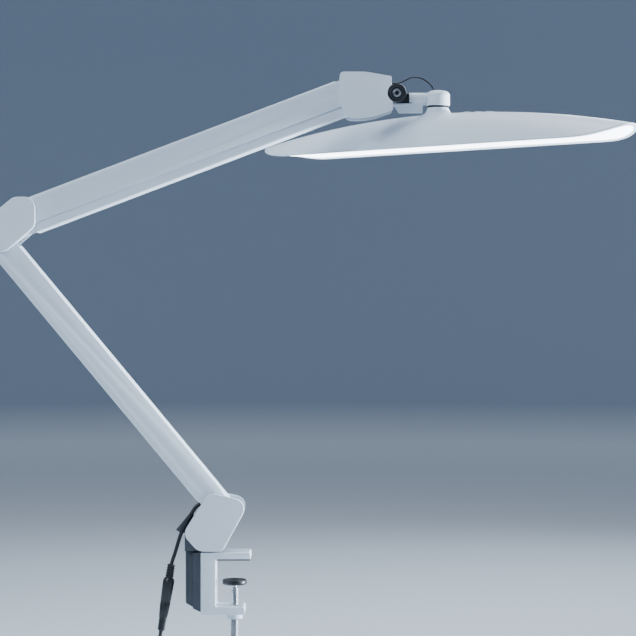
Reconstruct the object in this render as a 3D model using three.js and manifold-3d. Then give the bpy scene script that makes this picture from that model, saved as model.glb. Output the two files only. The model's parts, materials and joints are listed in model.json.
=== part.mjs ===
// Architect desk lamp: a clamp, a swivelling base, two spring-balanced parallel-link arms and a long head.
// Millimetres. +X runs from the clamp towards the head, +Y across the arms, +Z up. The origin is the middle
// of the clamp's upper jaw where it rests on the desk top.
import * as THREE from "three";
import { mergeVertices } from "three/addons/utils/BufferGeometryUtils.js";
import Module from "manifold-3d";

const wasm = await Module();
wasm.setup();

// ---------------------------------------------------------------------------------------------------------
// Driving dimensions
// ---------------------------------------------------------------------------------------------------------
const GAP = 0.3; // between pieces that seat on each other
const PLAY = 0.5; // between walls that slide past each other

// Clamp
const CLAMP_WIDTH = 40;
const JAW_PAD = 1.5;
const JAW_THICK = 7.7;
const JAW_REACH = 42; // from the desk's edge to the jaw's tip
const DESK_EDGE_X = -22;
const SPINE_THICK = 18;
const THROAT = 56; // desk top to the lower jaw
const LOWER_JAW_THICK = 9;
const LOWER_JAW_REACH = 35;
const JAW_BOSS_R = 10;
const JAW_BOSS_DROP = 7;
const SCREW_X = 0;
const SCREW_R = 5;
const SCREW_LENGTH = 84;
const DESK_THICK = 25;
const PLATE_R = 15;
const PLATE_THICK = 6;
const PLATE_SOCKET = 3;
const KNOB_R = 15;
const KNOB_HEIGHT = 20;
const KNOB_FLOOR = 4; // of the knob under the screw's end
const KNOB_LOBES = 5;
const KNOB_LOBE_R = 6;
const SOCKET_THICK = 19.1;
const SOCKET_HEIGHT = 62;
const SOCKET_SLANT = 9;
const SOCKET_EAR = 9; // thickness of the ears that its screws hold
const SOCKET_SCREW_R = 2.5;
const SOCKET_SCREW_HEAD_R = 4.5;
const SOCKET_SCREW_HEAD = 5;
const SOCKET_SCREW_LENGTH = 22;
const SOCKET_SCREW_Y = 13.6;
const SOCKET_SCREW_DROP = 32;
const SWIVEL_R = 5;
const SWIVEL_DEPTH = 52; // of the pin in its bush
const SWIVEL_GRIP = 20; // of the pin in the base block
const BUSH_WALL = 1.5;
const FLANGE_R = 9.2; // the bush's flange, which the base block turns on
const FLANGE_THICK = 1.1;

// Parallel-link arms: the outer channel turns on the outer pivots, the inner channel on the inner pivots
const BASE_PIVOT = [-24.9, 65.6]; // first outer pivot, in X and Z
const LINK = [20.3, -12.9]; // outer pivot to inner pivot
const LOWER_LENGTH = 430.1;
const LOWER_ANGLE = 129.73; // degrees from +X
const ELBOW_STEP = [22.2, 17.7]; // lower arm's outer pivot to the upper arm's
const UPPER_LENGTH = 447.9;
const UPPER_ANGLE = 20.75;
const PIN_R = 4;
const LUG_R = 10;
const CHANNEL_WALL = 1.5;
const CHANNEL_CORNER_R = 3;
const OUTER_WIDTH = 34;
const OUTER_WEB = 11.6; // outer pivots to the outer face of the outer channel's web
const OUTER_SKIRT = 19.8; // outer pivots to the free edge of its side walls
const INNER_WEB = 12.8;
const INNER_SKIRT = 14;
const WEB_INSET = 16.5; // from a pivot to the end of the web
const SKIRT_INSET = 9; // from a pivot to the corner of the side wall's free edge
const BACK_LEAN = 6; // how far the lower arm leans back from rest, in degrees
const FORWARD_LEAN = 62;
const UPPER_RISE = 42;
const UPPER_FALL = 20;

// Springs in the arms
const SPRING_R = 7.5;
const SPRING_START = 46; // along the arm, from the outer pivot
const SPRING_LENGTH = 150;
const SPRING_ROD_R = 1.3;
const SPRING_BRACKET_AT = 214;
const SPRING_BRACKET_WIDTH = 16;
const SPRING_BRACKET_FOOT = 14;
const SPRING_BRACKET_WALL = 2.2;
const SPRING_DROP = 5; // spring's axis below the outer pivots' line
const ANCHOR_RISE = 11; // anchor bar from the line between outer and inner pivot
const ANCHOR_R = 1.8;
const ANCHOR_EYE_R = 3.5; // of the block round the bar
const ANCHOR_SLOT_R = 10;
const ANCHOR_SLOT_WIDTH = 6;

// Housings at the arms' ends
const COVER_THICK = 3.6;
const COVER_EDGE = 1.2; // rounding of a cover's outer edge
const COVER_SOCKET = 1.5; // depth of the blind socket that clips on a hinge pin
// Corners of the covers' outlines: how far right and up of a pivot, and the rounding. The base cover's foot
// has only how far right, because it ends at the base block's underside.
const BASE_COVER_FOOT = [[-18.4, 14], [11.1, 8]];
const BASE_COVER = [[44.1, 5.5, 14], [-5.2, 16.9, 10], [-36.9, -33.4, 12]];
const ELBOW_COVER_LOW = [[-20, -3, 12], [-20, -25, 16], [24.5, -25, 12]];
const ELBOW_COVER_HIGH = [[18.3, 1.2, 10], [18.3, 36.8, 15], [-8, 36.8, 12]];
const HEAD_COVER_TOP = [[17, 15.7, 60], [-13.7, 15.7, 5]];
const HEAD_COVER_LOW = [[-15.4, -16.8, 30], [-6.7, -40.2, 12], [22, -40.2, 60]];
const HEAD_COVER_FRONT = [[-4.8, -21, 3], [-6.8, 19.8, 2.5]];
const BLOCK_R = 9.5; // round ends of the blocks between the covers
const BASE_COLUMN_HEIGHT = 20;
const BASE_COLUMN_WIDTH = 32;
const COLUMN_CORNER = 4;
const BASE_FOOT = 3; // how far the block's foot reaches past the first outer pivot
const STANDOFF_R = 3;
const BASE_STANDOFFS = [[-12, 22], [3, 14]]; // right of the first pivot, and above the block's underside
const HEAD_WAIST = 8; // half height of the head block where its ears start
const HINGE_ROOM = 5.5; // kept clear round the hinge rings for the neck's plate

// Head hinge, neck and turret
const TILT_AXIS = [55.1, -9.4]; // from the upper arm's last outer pivot
const RING_R = 11.2;
const RING_OUT = 19.6; // outer face of a hinge ring from the middle
const EAR_R = 10;
const EAR_THICK = 4.8;
const TILT_BLOCK_HALF = 6.9;
const TILT_BLOCK_REACH = 15;
const TILT_SCREW_R = 2.5;
const TILT_HEAD_R = 5;
const TILT_HEAD_THICK = 3.5;
const NECK_R = 7.7;
const NECK_WALL = 1.6;
const NECK_DROP = 5.9; // neck's axis below the tilt axis
const NECK_SPIGOT = 8;
const NECK_PLATE_THICK = 2.3;
const NECK_PLATE_HALF = 8;
const NECK_PLATE_BACK = 5.3;
const NECK_PLATE_GRIP = 3; // of the plate under the tube
const NECK_WEB_HALF = 4;
const NECK_WEB_DROP = 8.6;
const NECK_WEB_FRONT = 31.5;
const NECK_WEB_BACK = 3;
const NECK_WEB_CHAMFER = 6;
const TURRET_REACH = 50.3; // tilt axis to the turret's axis
const TURRET_R = 14.5;
const TURRET_DROP = 14.1; // turret's underside below the tilt axis
const TURRET_HEIGHT = 18.7;
const TURRET_DOME = 7;
const TURRET_SOCKET = 4;
const POST_R = 5;
const POST_IN_TURRET = 13;
const FRICTION_RING_R = 13;
const FRICTION_RING = 1.7;
const POST_NUT_R = 9;
const POST_NUT_THICK = 4;

// Head
const HEAD_HALF = 280; // half its length
const HEAD_WIDTH = 86;
const HEAD_CAMBER = 42.3; // ridge above the rim at the middle
const HEAD_YAW = -42.5; // degrees about the turret's axis
const HEAD_END_R = 52; // plan rounding of the ends, along the head
const HEAD_TIP_RISE = 10; // how far the rim turns up at the tips
const HEAD_TIP_RUN = 62; // over what length
const RIM_EDGE = 2.6; // upright edge of the shell at the rim
const TIP_CROWN = 0.2; // left of the shell's crown at the tips
const RIM_WIDTH = 3.6;
const ROOF = 2;
const CREST_POWER = 2.2; // fullness of the shell's cross-section
const COLLAR_TOP_R = 12.6;
const COLLAR_FOOT_R = 17;
const COLLAR_FOOT_DROP = 9; // how far the collar reaches below the ridge at its foot
const DIFFUSER_THICK = 1.8;
const SPREADER_RISE = 11; // heat spreader above the rim
const SPREADER_THICK = 1.5;
const SPREADER_HALF = 210;
const SPREADER_WIDTH = 50;
const BOARD_THICK = 1.4;
const LED_BOARD_HALF = 205;
const LED_BOARD_WIDTH = 22;
const LED_COUNT = 18;
const LED_SIZE = 5;
const LED_THICK = 1;
const RIB_R = 3.5;
const RIB_PLACES = [-190, -130, 130, 190];
const DRIVER_PLACE = -75; // middle of the driver board, along the head
const DRIVER_LENGTH = 90;
const DRIVER_WIDTH = 30;
const DRIVER_STANDOFF = 3;
const CORE_SIZE = 12; // the driver's transformer
const CORE_HEIGHT = 7;
const CAN_R = 4; // its capacitor
const CAN_HEIGHT = 8;
const SWITCH_PLACE = 62;
const SWITCH_PITCH = 17;
const BUTTON_R = 5;
const BUTTON_FLANGE_R = 6.3;
const BUTTON_FLANGE = 1.5;
const BUTTON_PROUD = 1.4;
const BUTTON_TRAVEL = 1;
const SWITCH_BOARD_WIDTH = 18;
const SWITCH_BOARD_LENGTH = 64;

// Leads
const CORD_R = 2.25;
const CORD_Y = -7;
const GLAND_R = 3.8; // boss on the base block that the cord leaves
const GLAND_LENGTH = 8;
const LEAD_R = 1;
const COUPLER_R = 6;
const COUPLER_RELIEF_R = 4.6;
const COUPLER_RELIEF = 18;
const COUPLER_SOCKET_LENGTH = 27;
const COUPLER_PLUG_LENGTH = 17;
const COIL_R = 25; // middle of the turns
const COIL_TURNS_WIDE = 3;
const COIL_TURNS_HIGH = 3;
const COIL_EASE = 0.5; // looseness of the turns
const LEAD_DROP = 29; // from the plug to the coil
const LEAD_LEAN = 2; // how far the drop swings left
const ADAPTER_SIZE = [44, 28, 52];
const ADAPTER_CORNER = 6;
const ADAPTER_EDGE = 2;
const ADAPTER_RELIEF_R = 4;
const ADAPTER_RELIEF = 14;
const ADAPTER_PIN_R = 2.4;
const ADAPTER_PIN = 19;
const ADAPTER_PIN_PITCH = 19;
const GUIDE_THICK = 9;
// Corners of the cord's guide, right and up of the first outer pivot
const GUIDE_OUTLINE = [[-18.6, -18.3], [-28.5, -9], [-45.9, -30.1], [-40.6, -33.4], [-32, -34]];

// ---------------------------------------------------------------------------------------------------------
// Materials
// ---------------------------------------------------------------------------------------------------------
function finish(color, roughness, metalness) {
  return new THREE.MeshStandardMaterial({ color, roughness, metalness });
}
const PAINT = finish(0xd9dcdf, 0.42, 0.1);
const CASTING = finish(0xb9bec4, 0.45, 0.3);
const CHARCOAL = finish(0x3b4047, 0.5, 0.1);
const BLACK = finish(0x111214, 0.4, 0);
const STEEL = finish(0xa9adb2, 0.3, 1);
const ALUMINIUM = finish(0xc3c6c9, 0.4, 1);
const OPAL = new THREE.MeshStandardMaterial({ color: 0xffffff, roughness: 0.5, emissive: 0xffffff });
const BOARD = finish(0x245a3a, 0.5, 0);
const RUBBER = finish(0x1b1c1e, 0.8, 0);

// ---------------------------------------------------------------------------------------------------------
// Solids
// ---------------------------------------------------------------------------------------------------------
function solid(shape) {
  if (!(shape instanceof THREE.BufferGeometry)) return shape;
  const bare = new THREE.BufferGeometry().setAttribute("position", shape.getAttribute("position"));
  if (shape.index) bare.setIndex(shape.index);
  const merged = mergeVertices(bare, 1e-4);
  return new wasm.Manifold(
    new wasm.Mesh({
      numProp: 3,
      vertProperties: new Float32Array(merged.attributes.position.array),
      triVerts: new Uint32Array(merged.index.array),
    }),
  );
}

function surface(body) {
  if (body instanceof THREE.BufferGeometry) return body;
  const mesh = body.getMesh();
  const geometry = new THREE.BufferGeometry();
  geometry.setAttribute("position", new THREE.BufferAttribute(mesh.vertProperties, 3));
  geometry.setIndex(new THREE.BufferAttribute(mesh.triVerts, 1));
  return geometry;
}

const join = (first, ...others) => others.reduce((body, other) => body.add(solid(other)), solid(first));
const cut = (first, ...others) => others.reduce((body, other) => body.subtract(solid(other)), solid(first));
const common = (first, second) => solid(first).intersect(solid(second));

// ---------------------------------------------------------------------------------------------------------
// Shapes
// ---------------------------------------------------------------------------------------------------------
const X = new THREE.Vector3(1, 0, 0);
const Y = new THREE.Vector3(0, 1, 0);
const Z = new THREE.Vector3(0, 0, 1);
const SIDES = [["front", -1], ["rear", 1]];
const radians = THREE.MathUtils.degToRad;

// An outline drawn in X and Z, given thickness from y0 to y1; edge rounds both of its ends.
function slab(outline, y0, y1, edge = 0, curveSegments = 5) {
  const depth = y1 - y0 - 2 * edge;
  const bevel = { bevelThickness: edge, bevelSize: edge, bevelOffset: -edge, bevelSegments: 1 };
  const settings = { depth, curveSegments, bevelEnabled: edge > 0, ...bevel };
  const geometry = new THREE.ExtrudeGeometry(outline, settings);
  geometry.applyMatrix4(new THREE.Matrix4().makeBasis(X, Z, Y.clone().negate()));
  return geometry.translate(0, y1 - edge, 0);
}

// An outline drawn in Y and Z, given length from x0 to x1.
function bar(outline, x0, x1) {
  const settings = { depth: x1 - x0, curveSegments: 4, bevelEnabled: false };
  const geometry = new THREE.ExtrudeGeometry(outline, settings);
  geometry.applyMatrix4(new THREE.Matrix4().makeBasis(Y, Z, X));
  return geometry.translate(x0, 0, 0);
}

function box(x0, x1, y0, y1, z0, z1) {
  const geometry = new THREE.BoxGeometry(x1 - x0, y1 - y0, z1 - z0);
  return geometry.translate((x0 + x1) / 2, (y0 + y1) / 2, (z0 + z1) / 2);
}

// A round rod between two points, with its own radius at each.
function rod(start, end, r0, r1 = r0, sides = 16) {
  const from = new THREE.Vector3(...start);
  const to = new THREE.Vector3(...end);
  const along = to.clone().sub(from);
  const geometry = new THREE.CylinderGeometry(r1, r0, along.length(), sides);
  geometry.applyQuaternion(new THREE.Quaternion().setFromUnitVectors(Y, along.clone().normalize()));
  const middle = from.add(to).multiplyScalar(0.5);
  return geometry.translate(middle.x, middle.y, middle.z);
}

// From a to b across the lamp, on the side that sign gives, in rising order.
const span = (sign, a, b) => [Math.min(sign * a, sign * b), Math.max(sign * a, sign * b)];

const acrossRod = ([x, z], y0, y1, r, sides = 16) => rod([x, y0, z], [x, y1, z], r, r, sides);

// A turned piece about the upright axis at x: its profile holds pairs of radius and height.
function turned(profile, x = 0, sides = 24) {
  const geometry = new THREE.LatheGeometry(profile.map(([r, z]) => new THREE.Vector2(r, z)), sides);
  geometry.applyMatrix4(new THREE.Matrix4().makeBasis(X, Z, Y.clone().negate()));
  return geometry.translate(x, 0, 0);
}

// A polygon with each corner rounded: points are x, z, radius, anticlockwise.
function rounded(points) {
  const outline = new THREE.Shape();
  points.forEach(([x, z, r], i) => {
    const corner = new THREE.Vector2(x, z);
    const before = new THREE.Vector2(...points.at(i - 1).slice(0, 2)).sub(corner);
    const after = new THREE.Vector2(...points[(i + 1) % points.length].slice(0, 2)).sub(corner);
    const half = Math.acos(before.clone().normalize().dot(after.clone().normalize())) / 2;
    const reach = Math.min(r / Math.tan(half), before.length() / 2, after.length() / 2);
    const enter = corner.clone().addScaledVector(before.normalize(), reach);
    const leave = corner.clone().addScaledVector(after.normalize(), reach);
    if (i) outline.lineTo(enter.x, enter.y);
    else outline.moveTo(enter.x, enter.y);
    outline.quadraticCurveTo(corner.x, corner.y, leave.x, leave.y);
  });
  outline.closePath();
  return outline;
}

// The outline that wraps round discs, each given as x, z and radius.
function wrap(discs, steps = 28) {
  const points = discs.flatMap(([x, z, r]) =>
    Array.from({ length: steps }, (_, i) => {
      const turn = (2 * Math.PI * (i + 0.5)) / steps;
      return [x + r * Math.cos(turn), z + r * Math.sin(turn)];
    }),
  );
  points.sort((a, b) => a[0] - b[0] || a[1] - b[1]);
  const leftTurn = ([ax, az], [bx, bz], [cx, cz]) => (bx - ax) * (cz - az) - (bz - az) * (cx - ax) > 1e-6;
  const chain = (list) => {
    const kept = [];
    for (const point of list) {
      while (kept.length > 1 && !leftTurn(kept.at(-2), kept.at(-1), point)) kept.pop();
      kept.push(point);
    }
    return kept.slice(0, -1);
  };
  const hull = [...chain(points), ...chain(points.reverse())];
  return new THREE.Shape(hull.map(([x, z]) => new THREE.Vector2(x, z)));
}

// A solid through sections of equal point count, each a convex ring of points.
function loft(sections) {
  const count = sections[0].length;
  const positions = sections.flat(2);
  const faces = [];
  for (let i = 0; i + 1 < sections.length; i++) {
    for (let j = 0; j < count; j++) {
      const a = i * count + j;
      const b = i * count + ((j + 1) % count);
      faces.push(a, a + count, b, b, a + count, b + count);
    }
  }
  const last = (sections.length - 1) * count;
  for (let j = 1; j + 1 < count; j++) faces.push(0, j, j + 1, last, last + j + 1, last + j);
  const geometry = new THREE.BufferGeometry();
  geometry.setAttribute("position", new THREE.Float32BufferAttribute(positions, 3));
  return geometry.setIndex(faces);
}

// A round cord through points.
function cordAlong(points, radius, steps, sides) {
  const stations = points.map((point) => new THREE.Vector3(...point));
  const path = new THREE.CatmullRomCurve3(stations, false, "centripetal");
  const ring = new THREE.Shape(
    Array.from({ length: sides }, (_, i) => {
      const turn = (2 * Math.PI * i) / sides;
      return new THREE.Vector2(radius * Math.cos(turn), radius * Math.sin(turn));
    }),
  );
  return new THREE.ExtrudeGeometry(ring, { steps, extrudePath: path, bevelEnabled: false });
}

// ---------------------------------------------------------------------------------------------------------
// Places worked out from the driving dimensions
// ---------------------------------------------------------------------------------------------------------
const plus = ([x, z], [dx, dz], times = 1) => [x + dx * times, z + dz * times];
const cornersFrom = ([x, z], corners) => corners.map(([right, up, r]) => [x + right, z + up, r]);
const heading = (degrees) => [Math.cos(radians(degrees)), Math.sin(radians(degrees))];

const INNER_WIDTH = OUTER_WIDTH - 2 * (CHANNEL_WALL + PLAY);
const BLOCK_HALF = INNER_WIDTH / 2 - CHANNEL_WALL - GAP; // of the blocks between the channels' walls
const INNER_PIN_HALF = OUTER_WIDTH / 2 - CHANNEL_WALL - GAP;
const COVER_IN = OUTER_WIDTH / 2 + PLAY;
const COVER_OUT = COVER_IN + COVER_THICK;
const OUTER_PIN_HALF = COVER_IN + COVER_SOCKET - GAP;

const baseOuter = BASE_PIVOT;
const baseInner = plus(baseOuter, LINK);
const elbowLowOuter = plus(baseOuter, heading(LOWER_ANGLE), LOWER_LENGTH);
const elbowLowInner = plus(elbowLowOuter, LINK);
const elbowHighOuter = plus(elbowLowOuter, ELBOW_STEP);
const elbowHighInner = plus(elbowHighOuter, LINK);
const headOuter = plus(elbowHighOuter, heading(UPPER_ANGLE), UPPER_LENGTH);
const headInner = plus(headOuter, LINK);
const tilt = plus(headOuter, TILT_AXIS);
const linkLength = Math.hypot(...LINK);
const linkNormal = [-LINK[1] / linkLength, LINK[0] / linkLength];

const jawUnder = JAW_PAD + GAP;
const jawTop = jawUnder + JAW_THICK;
const spineLeft = DESK_EDGE_X - SPINE_THICK;
const socketRight = spineLeft - GAP;
const socketLeft = socketRight - SOCKET_THICK;
const earLeft = socketRight - SOCKET_EAR;
const swivelX = (socketLeft + socketRight) / 2;
const blockUnder = jawTop + 2 * GAP + FLANGE_THICK;
const jawTip = DESK_EDGE_X + JAW_REACH;
const cordExit = [baseOuter[0] - 11.8, CORD_Y, baseOuter[1] + 1.8];
const cordHeading = new THREE.Vector3(-1, 0, 0.08).normalize();

const turretX = tilt[0] + TURRET_REACH;
const turretUnder = tilt[1] - TURRET_DROP;
const collarTop = turretUnder - 2 * GAP - FRICTION_RING;
const ridge = collarTop - COLLAR_FOOT_DROP; // top of the head's shell at its middle
const rim = ridge - HEAD_CAMBER;

const lamp = new THREE.Group();

function piece(name, shape, material, parent = lamp) {
  const mesh = new THREE.Mesh(surface(shape), material);
  mesh.name = name;
  parent.add(mesh);
}

// ---------------------------------------------------------------------------------------------------------
// Clamp
// ---------------------------------------------------------------------------------------------------------
function clamp() {
  const half = CLAMP_WIDTH / 2;
  const footTop = -THROAT;
  const footUnder = footTop - LOWER_JAW_THICK;
  const footTip = DESK_EDGE_X + LOWER_JAW_REACH;
  const fillet = 3;
  const profile = rounded([
    [spineLeft, footUnder, fillet],
    [footTip, footUnder, fillet],
    [footTip, footTop, fillet],
    [DESK_EDGE_X, footTop, fillet],
    [DESK_EDGE_X, jawUnder, 1],
    [jawTip, jawUnder, 1],
    [jawTip, jawTop, fillet],
    [spineLeft, jawTop, 1],
  ]);
  const boss = rod([SCREW_X, 0, footUnder - JAW_BOSS_DROP], [SCREW_X, 0, footUnder + 1], JAW_BOSS_R);
  const bossUnder = footUnder - JAW_BOSS_DROP;
  const thread = rod([SCREW_X, 0, bossUnder - 1], [SCREW_X, 0, footTop + 1], SCREW_R + GAP);
  const screwZ = jawTop - SOCKET_SCREW_DROP;
  const shankEnd = earLeft + SOCKET_SCREW_LENGTH;
  const shank = (y, r, reach) => rod([earLeft - 1, y, screwZ], [reach, y, screwZ], r, r, 12);
  const tapped = SIDES.map(([, side]) => shank(side * SOCKET_SCREW_Y, SOCKET_SCREW_R + GAP, shankEnd + GAP));
  piece("clamp_frame", cut(join(slab(profile, -half, half), boss), thread, ...tapped), PAINT);
  piece("top_jaw_pad", box(DESK_EDGE_X + 1, jawTip - 1, 1 - half, half - 1, 0, JAW_PAD), RUBBER);

  const socketUnder = jawTop - SOCKET_HEIGHT;
  const lowest = socketUnder - SOCKET_SLANT;
  const barrelR = swivelX - socketLeft;
  const side = new THREE.Shape();
  side.moveTo(socketLeft - 1, socketUnder);
  side.lineTo(socketLeft, socketUnder);
  side.lineTo(socketRight, lowest);
  side.lineTo(socketRight, jawTop);
  side.lineTo(socketLeft - 1, jawTop);
  const plan = join(
    rod([swivelX, 0, lowest], [swivelX, 0, jawTop], barrelR, barrelR, 32),
    box(swivelX, socketRight, -barrelR, barrelR, lowest, jawTop),
    box(earLeft, socketRight, -half, half, lowest, jawTop),
  );
  const bore = rod([swivelX, 0, lowest - 1], [swivelX, 0, jawTop + 1], SWIVEL_R + BUSH_WALL + 2 * GAP);
  const headSeat = earLeft + SOCKET_SCREW_HEAD + GAP;
  const recesses = SIDES.map(([, sign]) => shank(sign * SOCKET_SCREW_Y, SOCKET_SCREW_HEAD_R + GAP, headSeat));
  piece("socket_block", cut(common(plan, slab(side, -half, half)), bore, ...tapped, ...recesses), CHARCOAL);

  for (const [place, sign] of SIDES) {
    const y = sign * SOCKET_SCREW_Y;
    const headEnd = earLeft + SOCKET_SCREW_HEAD;
    const head = rod([earLeft, y, screwZ], [headEnd, y, screwZ], SOCKET_SCREW_HEAD_R);
    const stem = rod([headEnd - 1, y, screwZ], [shankEnd, y, screwZ], SOCKET_SCREW_R, SOCKET_SCREW_R, 12);
    const keyEnd = headEnd - SOCKET_SCREW_HEAD / 2;
    const hexagon = rod([earLeft - 1, y, screwZ], [keyEnd, y, screwZ], SOCKET_SCREW_R, SOCKET_SCREW_R, 6);
    piece("socket_screw_" + place, cut(join(head, stem), hexagon), STEEL);
  }

  const bushIn = SWIVEL_R + GAP;
  const bushOut = bushIn + BUSH_WALL;
  const bushUnder = jawTop - SWIVEL_DEPTH;
  const flangeUnder = jawTop + GAP;
  const flangeTop = flangeUnder + FLANGE_THICK;
  const bush = [
    [bushIn, bushUnder],
    [bushOut, bushUnder],
    [bushOut, flangeUnder],
    [FLANGE_R, flangeUnder],
    [FLANGE_R, flangeTop],
    [bushIn, flangeTop],
    [bushIn, bushUnder],
  ];
  piece("swivel_bush", turned(bush, swivelX, 24), BLACK);

  const plateTop = -DESK_THICK;
  const plateUnder = plateTop - PLATE_THICK;
  const bevel = 2;
  const plate = [
    [0, plateUnder],
    [PLATE_R - bevel, plateUnder],
    [PLATE_R, plateUnder + bevel],
    [PLATE_R, plateTop],
    [0, plateTop],
  ];
  const dimple = rod([SCREW_X, 0, plateUnder - 1], [SCREW_X, 0, plateUnder + PLATE_SOCKET], SCREW_R + GAP);
  piece("pressure_plate", cut(turned(plate, SCREW_X), dimple), BLACK);

  const screwTop = plateUnder + PLATE_SOCKET - GAP;
  const screwUnder = screwTop - SCREW_LENGTH;
  const point = 1.2;
  const screw = [
    [0, screwUnder],
    [SCREW_R, screwUnder],
    [SCREW_R, screwTop - point],
    [SCREW_R - point, screwTop],
    [0, screwTop],
  ];
  piece("clamp_screw", turned(screw, SCREW_X, 20), STEEL);

  const knobUnder = screwUnder - KNOB_FLOOR;
  const knobTop = knobUnder + KNOB_HEIGHT;
  const lobes = Array.from({ length: KNOB_LOBES }, (_, i) => {
    const turn = (2 * Math.PI * i) / KNOB_LOBES;
    const reach = KNOB_R - KNOB_LOBE_R;
    const [x, y] = [SCREW_X + reach * Math.cos(turn), reach * Math.sin(turn)];
    return rod([x, y, knobUnder], [x, y, knobTop], KNOB_LOBE_R, KNOB_LOBE_R, 14);
  });
  const hub = rod([SCREW_X, 0, knobUnder], [SCREW_X, 0, knobTop], KNOB_R - KNOB_LOBE_R);
  const seat = rod([SCREW_X, 0, screwUnder - GAP], [SCREW_X, 0, knobTop + 1], SCREW_R + GAP);
  piece("clamp_knob", cut(join(hub, ...lobes), seat), BLACK);
}

// ---------------------------------------------------------------------------------------------------------
// Arms
// ---------------------------------------------------------------------------------------------------------
// A channel along +X between its pivots at x = 0 and x = length. Its web is at z = side * web, its side walls
// reach z = -side * skirt, and they end in round lugs.
function channel(length, width, web, skirt, side) {
  const half = width / 2;
  const inside = half - CHANNEL_WALL;
  const corner = CHANNEL_CORNER_R;
  const section = new THREE.Shape();
  section.moveTo(-half, -skirt);
  section.lineTo(-half, web - corner);
  section.absarc(-half + corner, web - corner, corner, Math.PI, Math.PI / 2, true);
  section.absarc(half - corner, web - corner, corner, Math.PI / 2, 0, true);
  section.lineTo(half, -skirt);
  section.lineTo(inside, -skirt);
  section.lineTo(inside, web - CHANNEL_WALL);
  section.lineTo(-inside, web - CHANNEL_WALL);
  section.lineTo(-inside, -skirt);
  const outline = new THREE.Shape();
  outline.moveTo(0, LUG_R);
  outline.lineTo(WEB_INSET, LUG_R);
  outline.lineTo(WEB_INSET, web);
  outline.lineTo(length - WEB_INSET, web);
  outline.lineTo(length - WEB_INSET, LUG_R);
  outline.lineTo(length, LUG_R);
  outline.absarc(length, 0, LUG_R, Math.PI / 2, -Math.PI / 2, true);
  outline.lineTo(length - SKIRT_INSET, -skirt);
  outline.lineTo(SKIRT_INSET, -skirt);
  outline.lineTo(0, -LUG_R);
  outline.absarc(0, 0, LUG_R, -Math.PI / 2, Math.PI / 2, true);
  const whole = common(bar(section, -LUG_R - 1, length + LUG_R + 1), slab(outline, -half - 1, half + 1));
  const holes = [0, length].map((x) => acrossRod([x, 0], -half - 1, half + 1, PIN_R + GAP));
  const body = cut(whole, ...holes);
  return side > 0 ? body : body.rotate([180, 0, 0]);
}

// The room that an outer pin sweeps in the inner channel's walls, in the channel's own X and Z.
function pinSweep(pivotX, low, high) {
  const outer = linkLength + PIN_R + PLAY;
  const inner = linkLength - PIN_R - PLAY;
  const [a, b] = [radians(low - 12), radians(high + 12)];
  const sector = new THREE.Shape();
  sector.absarc(pivotX, 0, outer, a, b, false);
  sector.absarc(pivotX, 0, inner, b, a, true);
  sector.closePath();
  return slab(sector, -OUTER_WIDTH, OUTER_WIDTH, 0, 14);
}

function armFrame([x, z], angle) {
  const frame = new THREE.Group();
  frame.position.set(x, 0, z);
  frame.rotation.y = -radians(angle);
  lamp.add(frame);
  return frame;
}

// The anchor bar that a spring pulls on, in X and Z.
const anchorNear = (outer) => plus(plus(outer, LINK, 0.5), linkNormal, ANCHOR_RISE);

function intoArm([x, z], [pivotX, pivotZ], angle) {
  const [c, s] = heading(angle);
  return [(x - pivotX) * c + (z - pivotZ) * s, (z - pivotZ) * c - (x - pivotX) * s];
}

function arm(name, outer, angle, length, back, forward) {
  const inner = plus(outer, LINK);
  const linkBack = THREE.MathUtils.radToDeg(Math.atan2(-LINK[1], -LINK[0]));
  const sweep = [linkBack - angle - back, linkBack - angle + forward];
  const outerFrame = armFrame(outer, angle);
  const innerFrame = armFrame(inner, angle);
  piece(name + "_outer_channel", channel(length, OUTER_WIDTH, OUTER_WEB, OUTER_SKIRT, 1), PAINT, outerFrame);
  const plain = channel(length, INNER_WIDTH, INNER_WEB, INNER_SKIRT, -1);
  const slots = [0, length].map((x) => pinSweep(x, ...sweep));
  piece(name + "_inner_channel", cut(plain, ...slots), PAINT, innerFrame);

  const [anchorX, anchorZ] = intoArm(anchorNear(outer), outer, angle);
  const axis = -SPRING_DROP;
  const end = SPRING_START + SPRING_LENGTH;
  const reach = Math.hypot(SPRING_START - anchorX, axis - anchorZ);
  const hook = (ANCHOR_R + GAP + SPRING_ROD_R) / reach;
  const hookAt = [anchorX + (SPRING_START - anchorX) * hook, 0, anchorZ + (axis - anchorZ) * hook];
  const bracketFace = SPRING_BRACKET_AT - GAP;
  const spring = join(
    rod([SPRING_START, 0, axis], [end, 0, axis], SPRING_R, SPRING_R, 16),
    rod(hookAt, [SPRING_START + 1, 0, axis], SPRING_ROD_R, SPRING_ROD_R, 8),
    rod([end - 1, 0, axis], [bracketFace, 0, axis], SPRING_ROD_R, SPRING_ROD_R, 8),
  );
  piece(name + "_spring", spring, STEEL, outerFrame);

  const ceiling = OUTER_WEB - CHANNEL_WALL - GAP;
  const halfWidth = SPRING_BRACKET_WIDTH / 2;
  const tabEnd = SPRING_BRACKET_AT + SPRING_BRACKET_WALL;
  const footEnd = SPRING_BRACKET_AT + SPRING_BRACKET_FOOT;
  const tab = box(SPRING_BRACKET_AT, tabEnd, -halfWidth, halfWidth, axis - 4, ceiling);
  const foot = box(SPRING_BRACKET_AT, footEnd, -halfWidth, halfWidth, ceiling - SPRING_BRACKET_WALL, ceiling);
  piece(name + "_spring_bracket", join(tab, foot), STEEL, outerFrame);
}

// ---------------------------------------------------------------------------------------------------------
// Housings
// ---------------------------------------------------------------------------------------------------------
function pins(prefix, outer, inner) {
  piece(prefix + "_pin_outer", acrossRod(outer, -OUTER_PIN_HALF, OUTER_PIN_HALF, PIN_R), STEEL);
  piece(prefix + "_pin_inner", acrossRod(inner, -INNER_PIN_HALF, INNER_PIN_HALF, PIN_R), STEEL);
}

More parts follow.
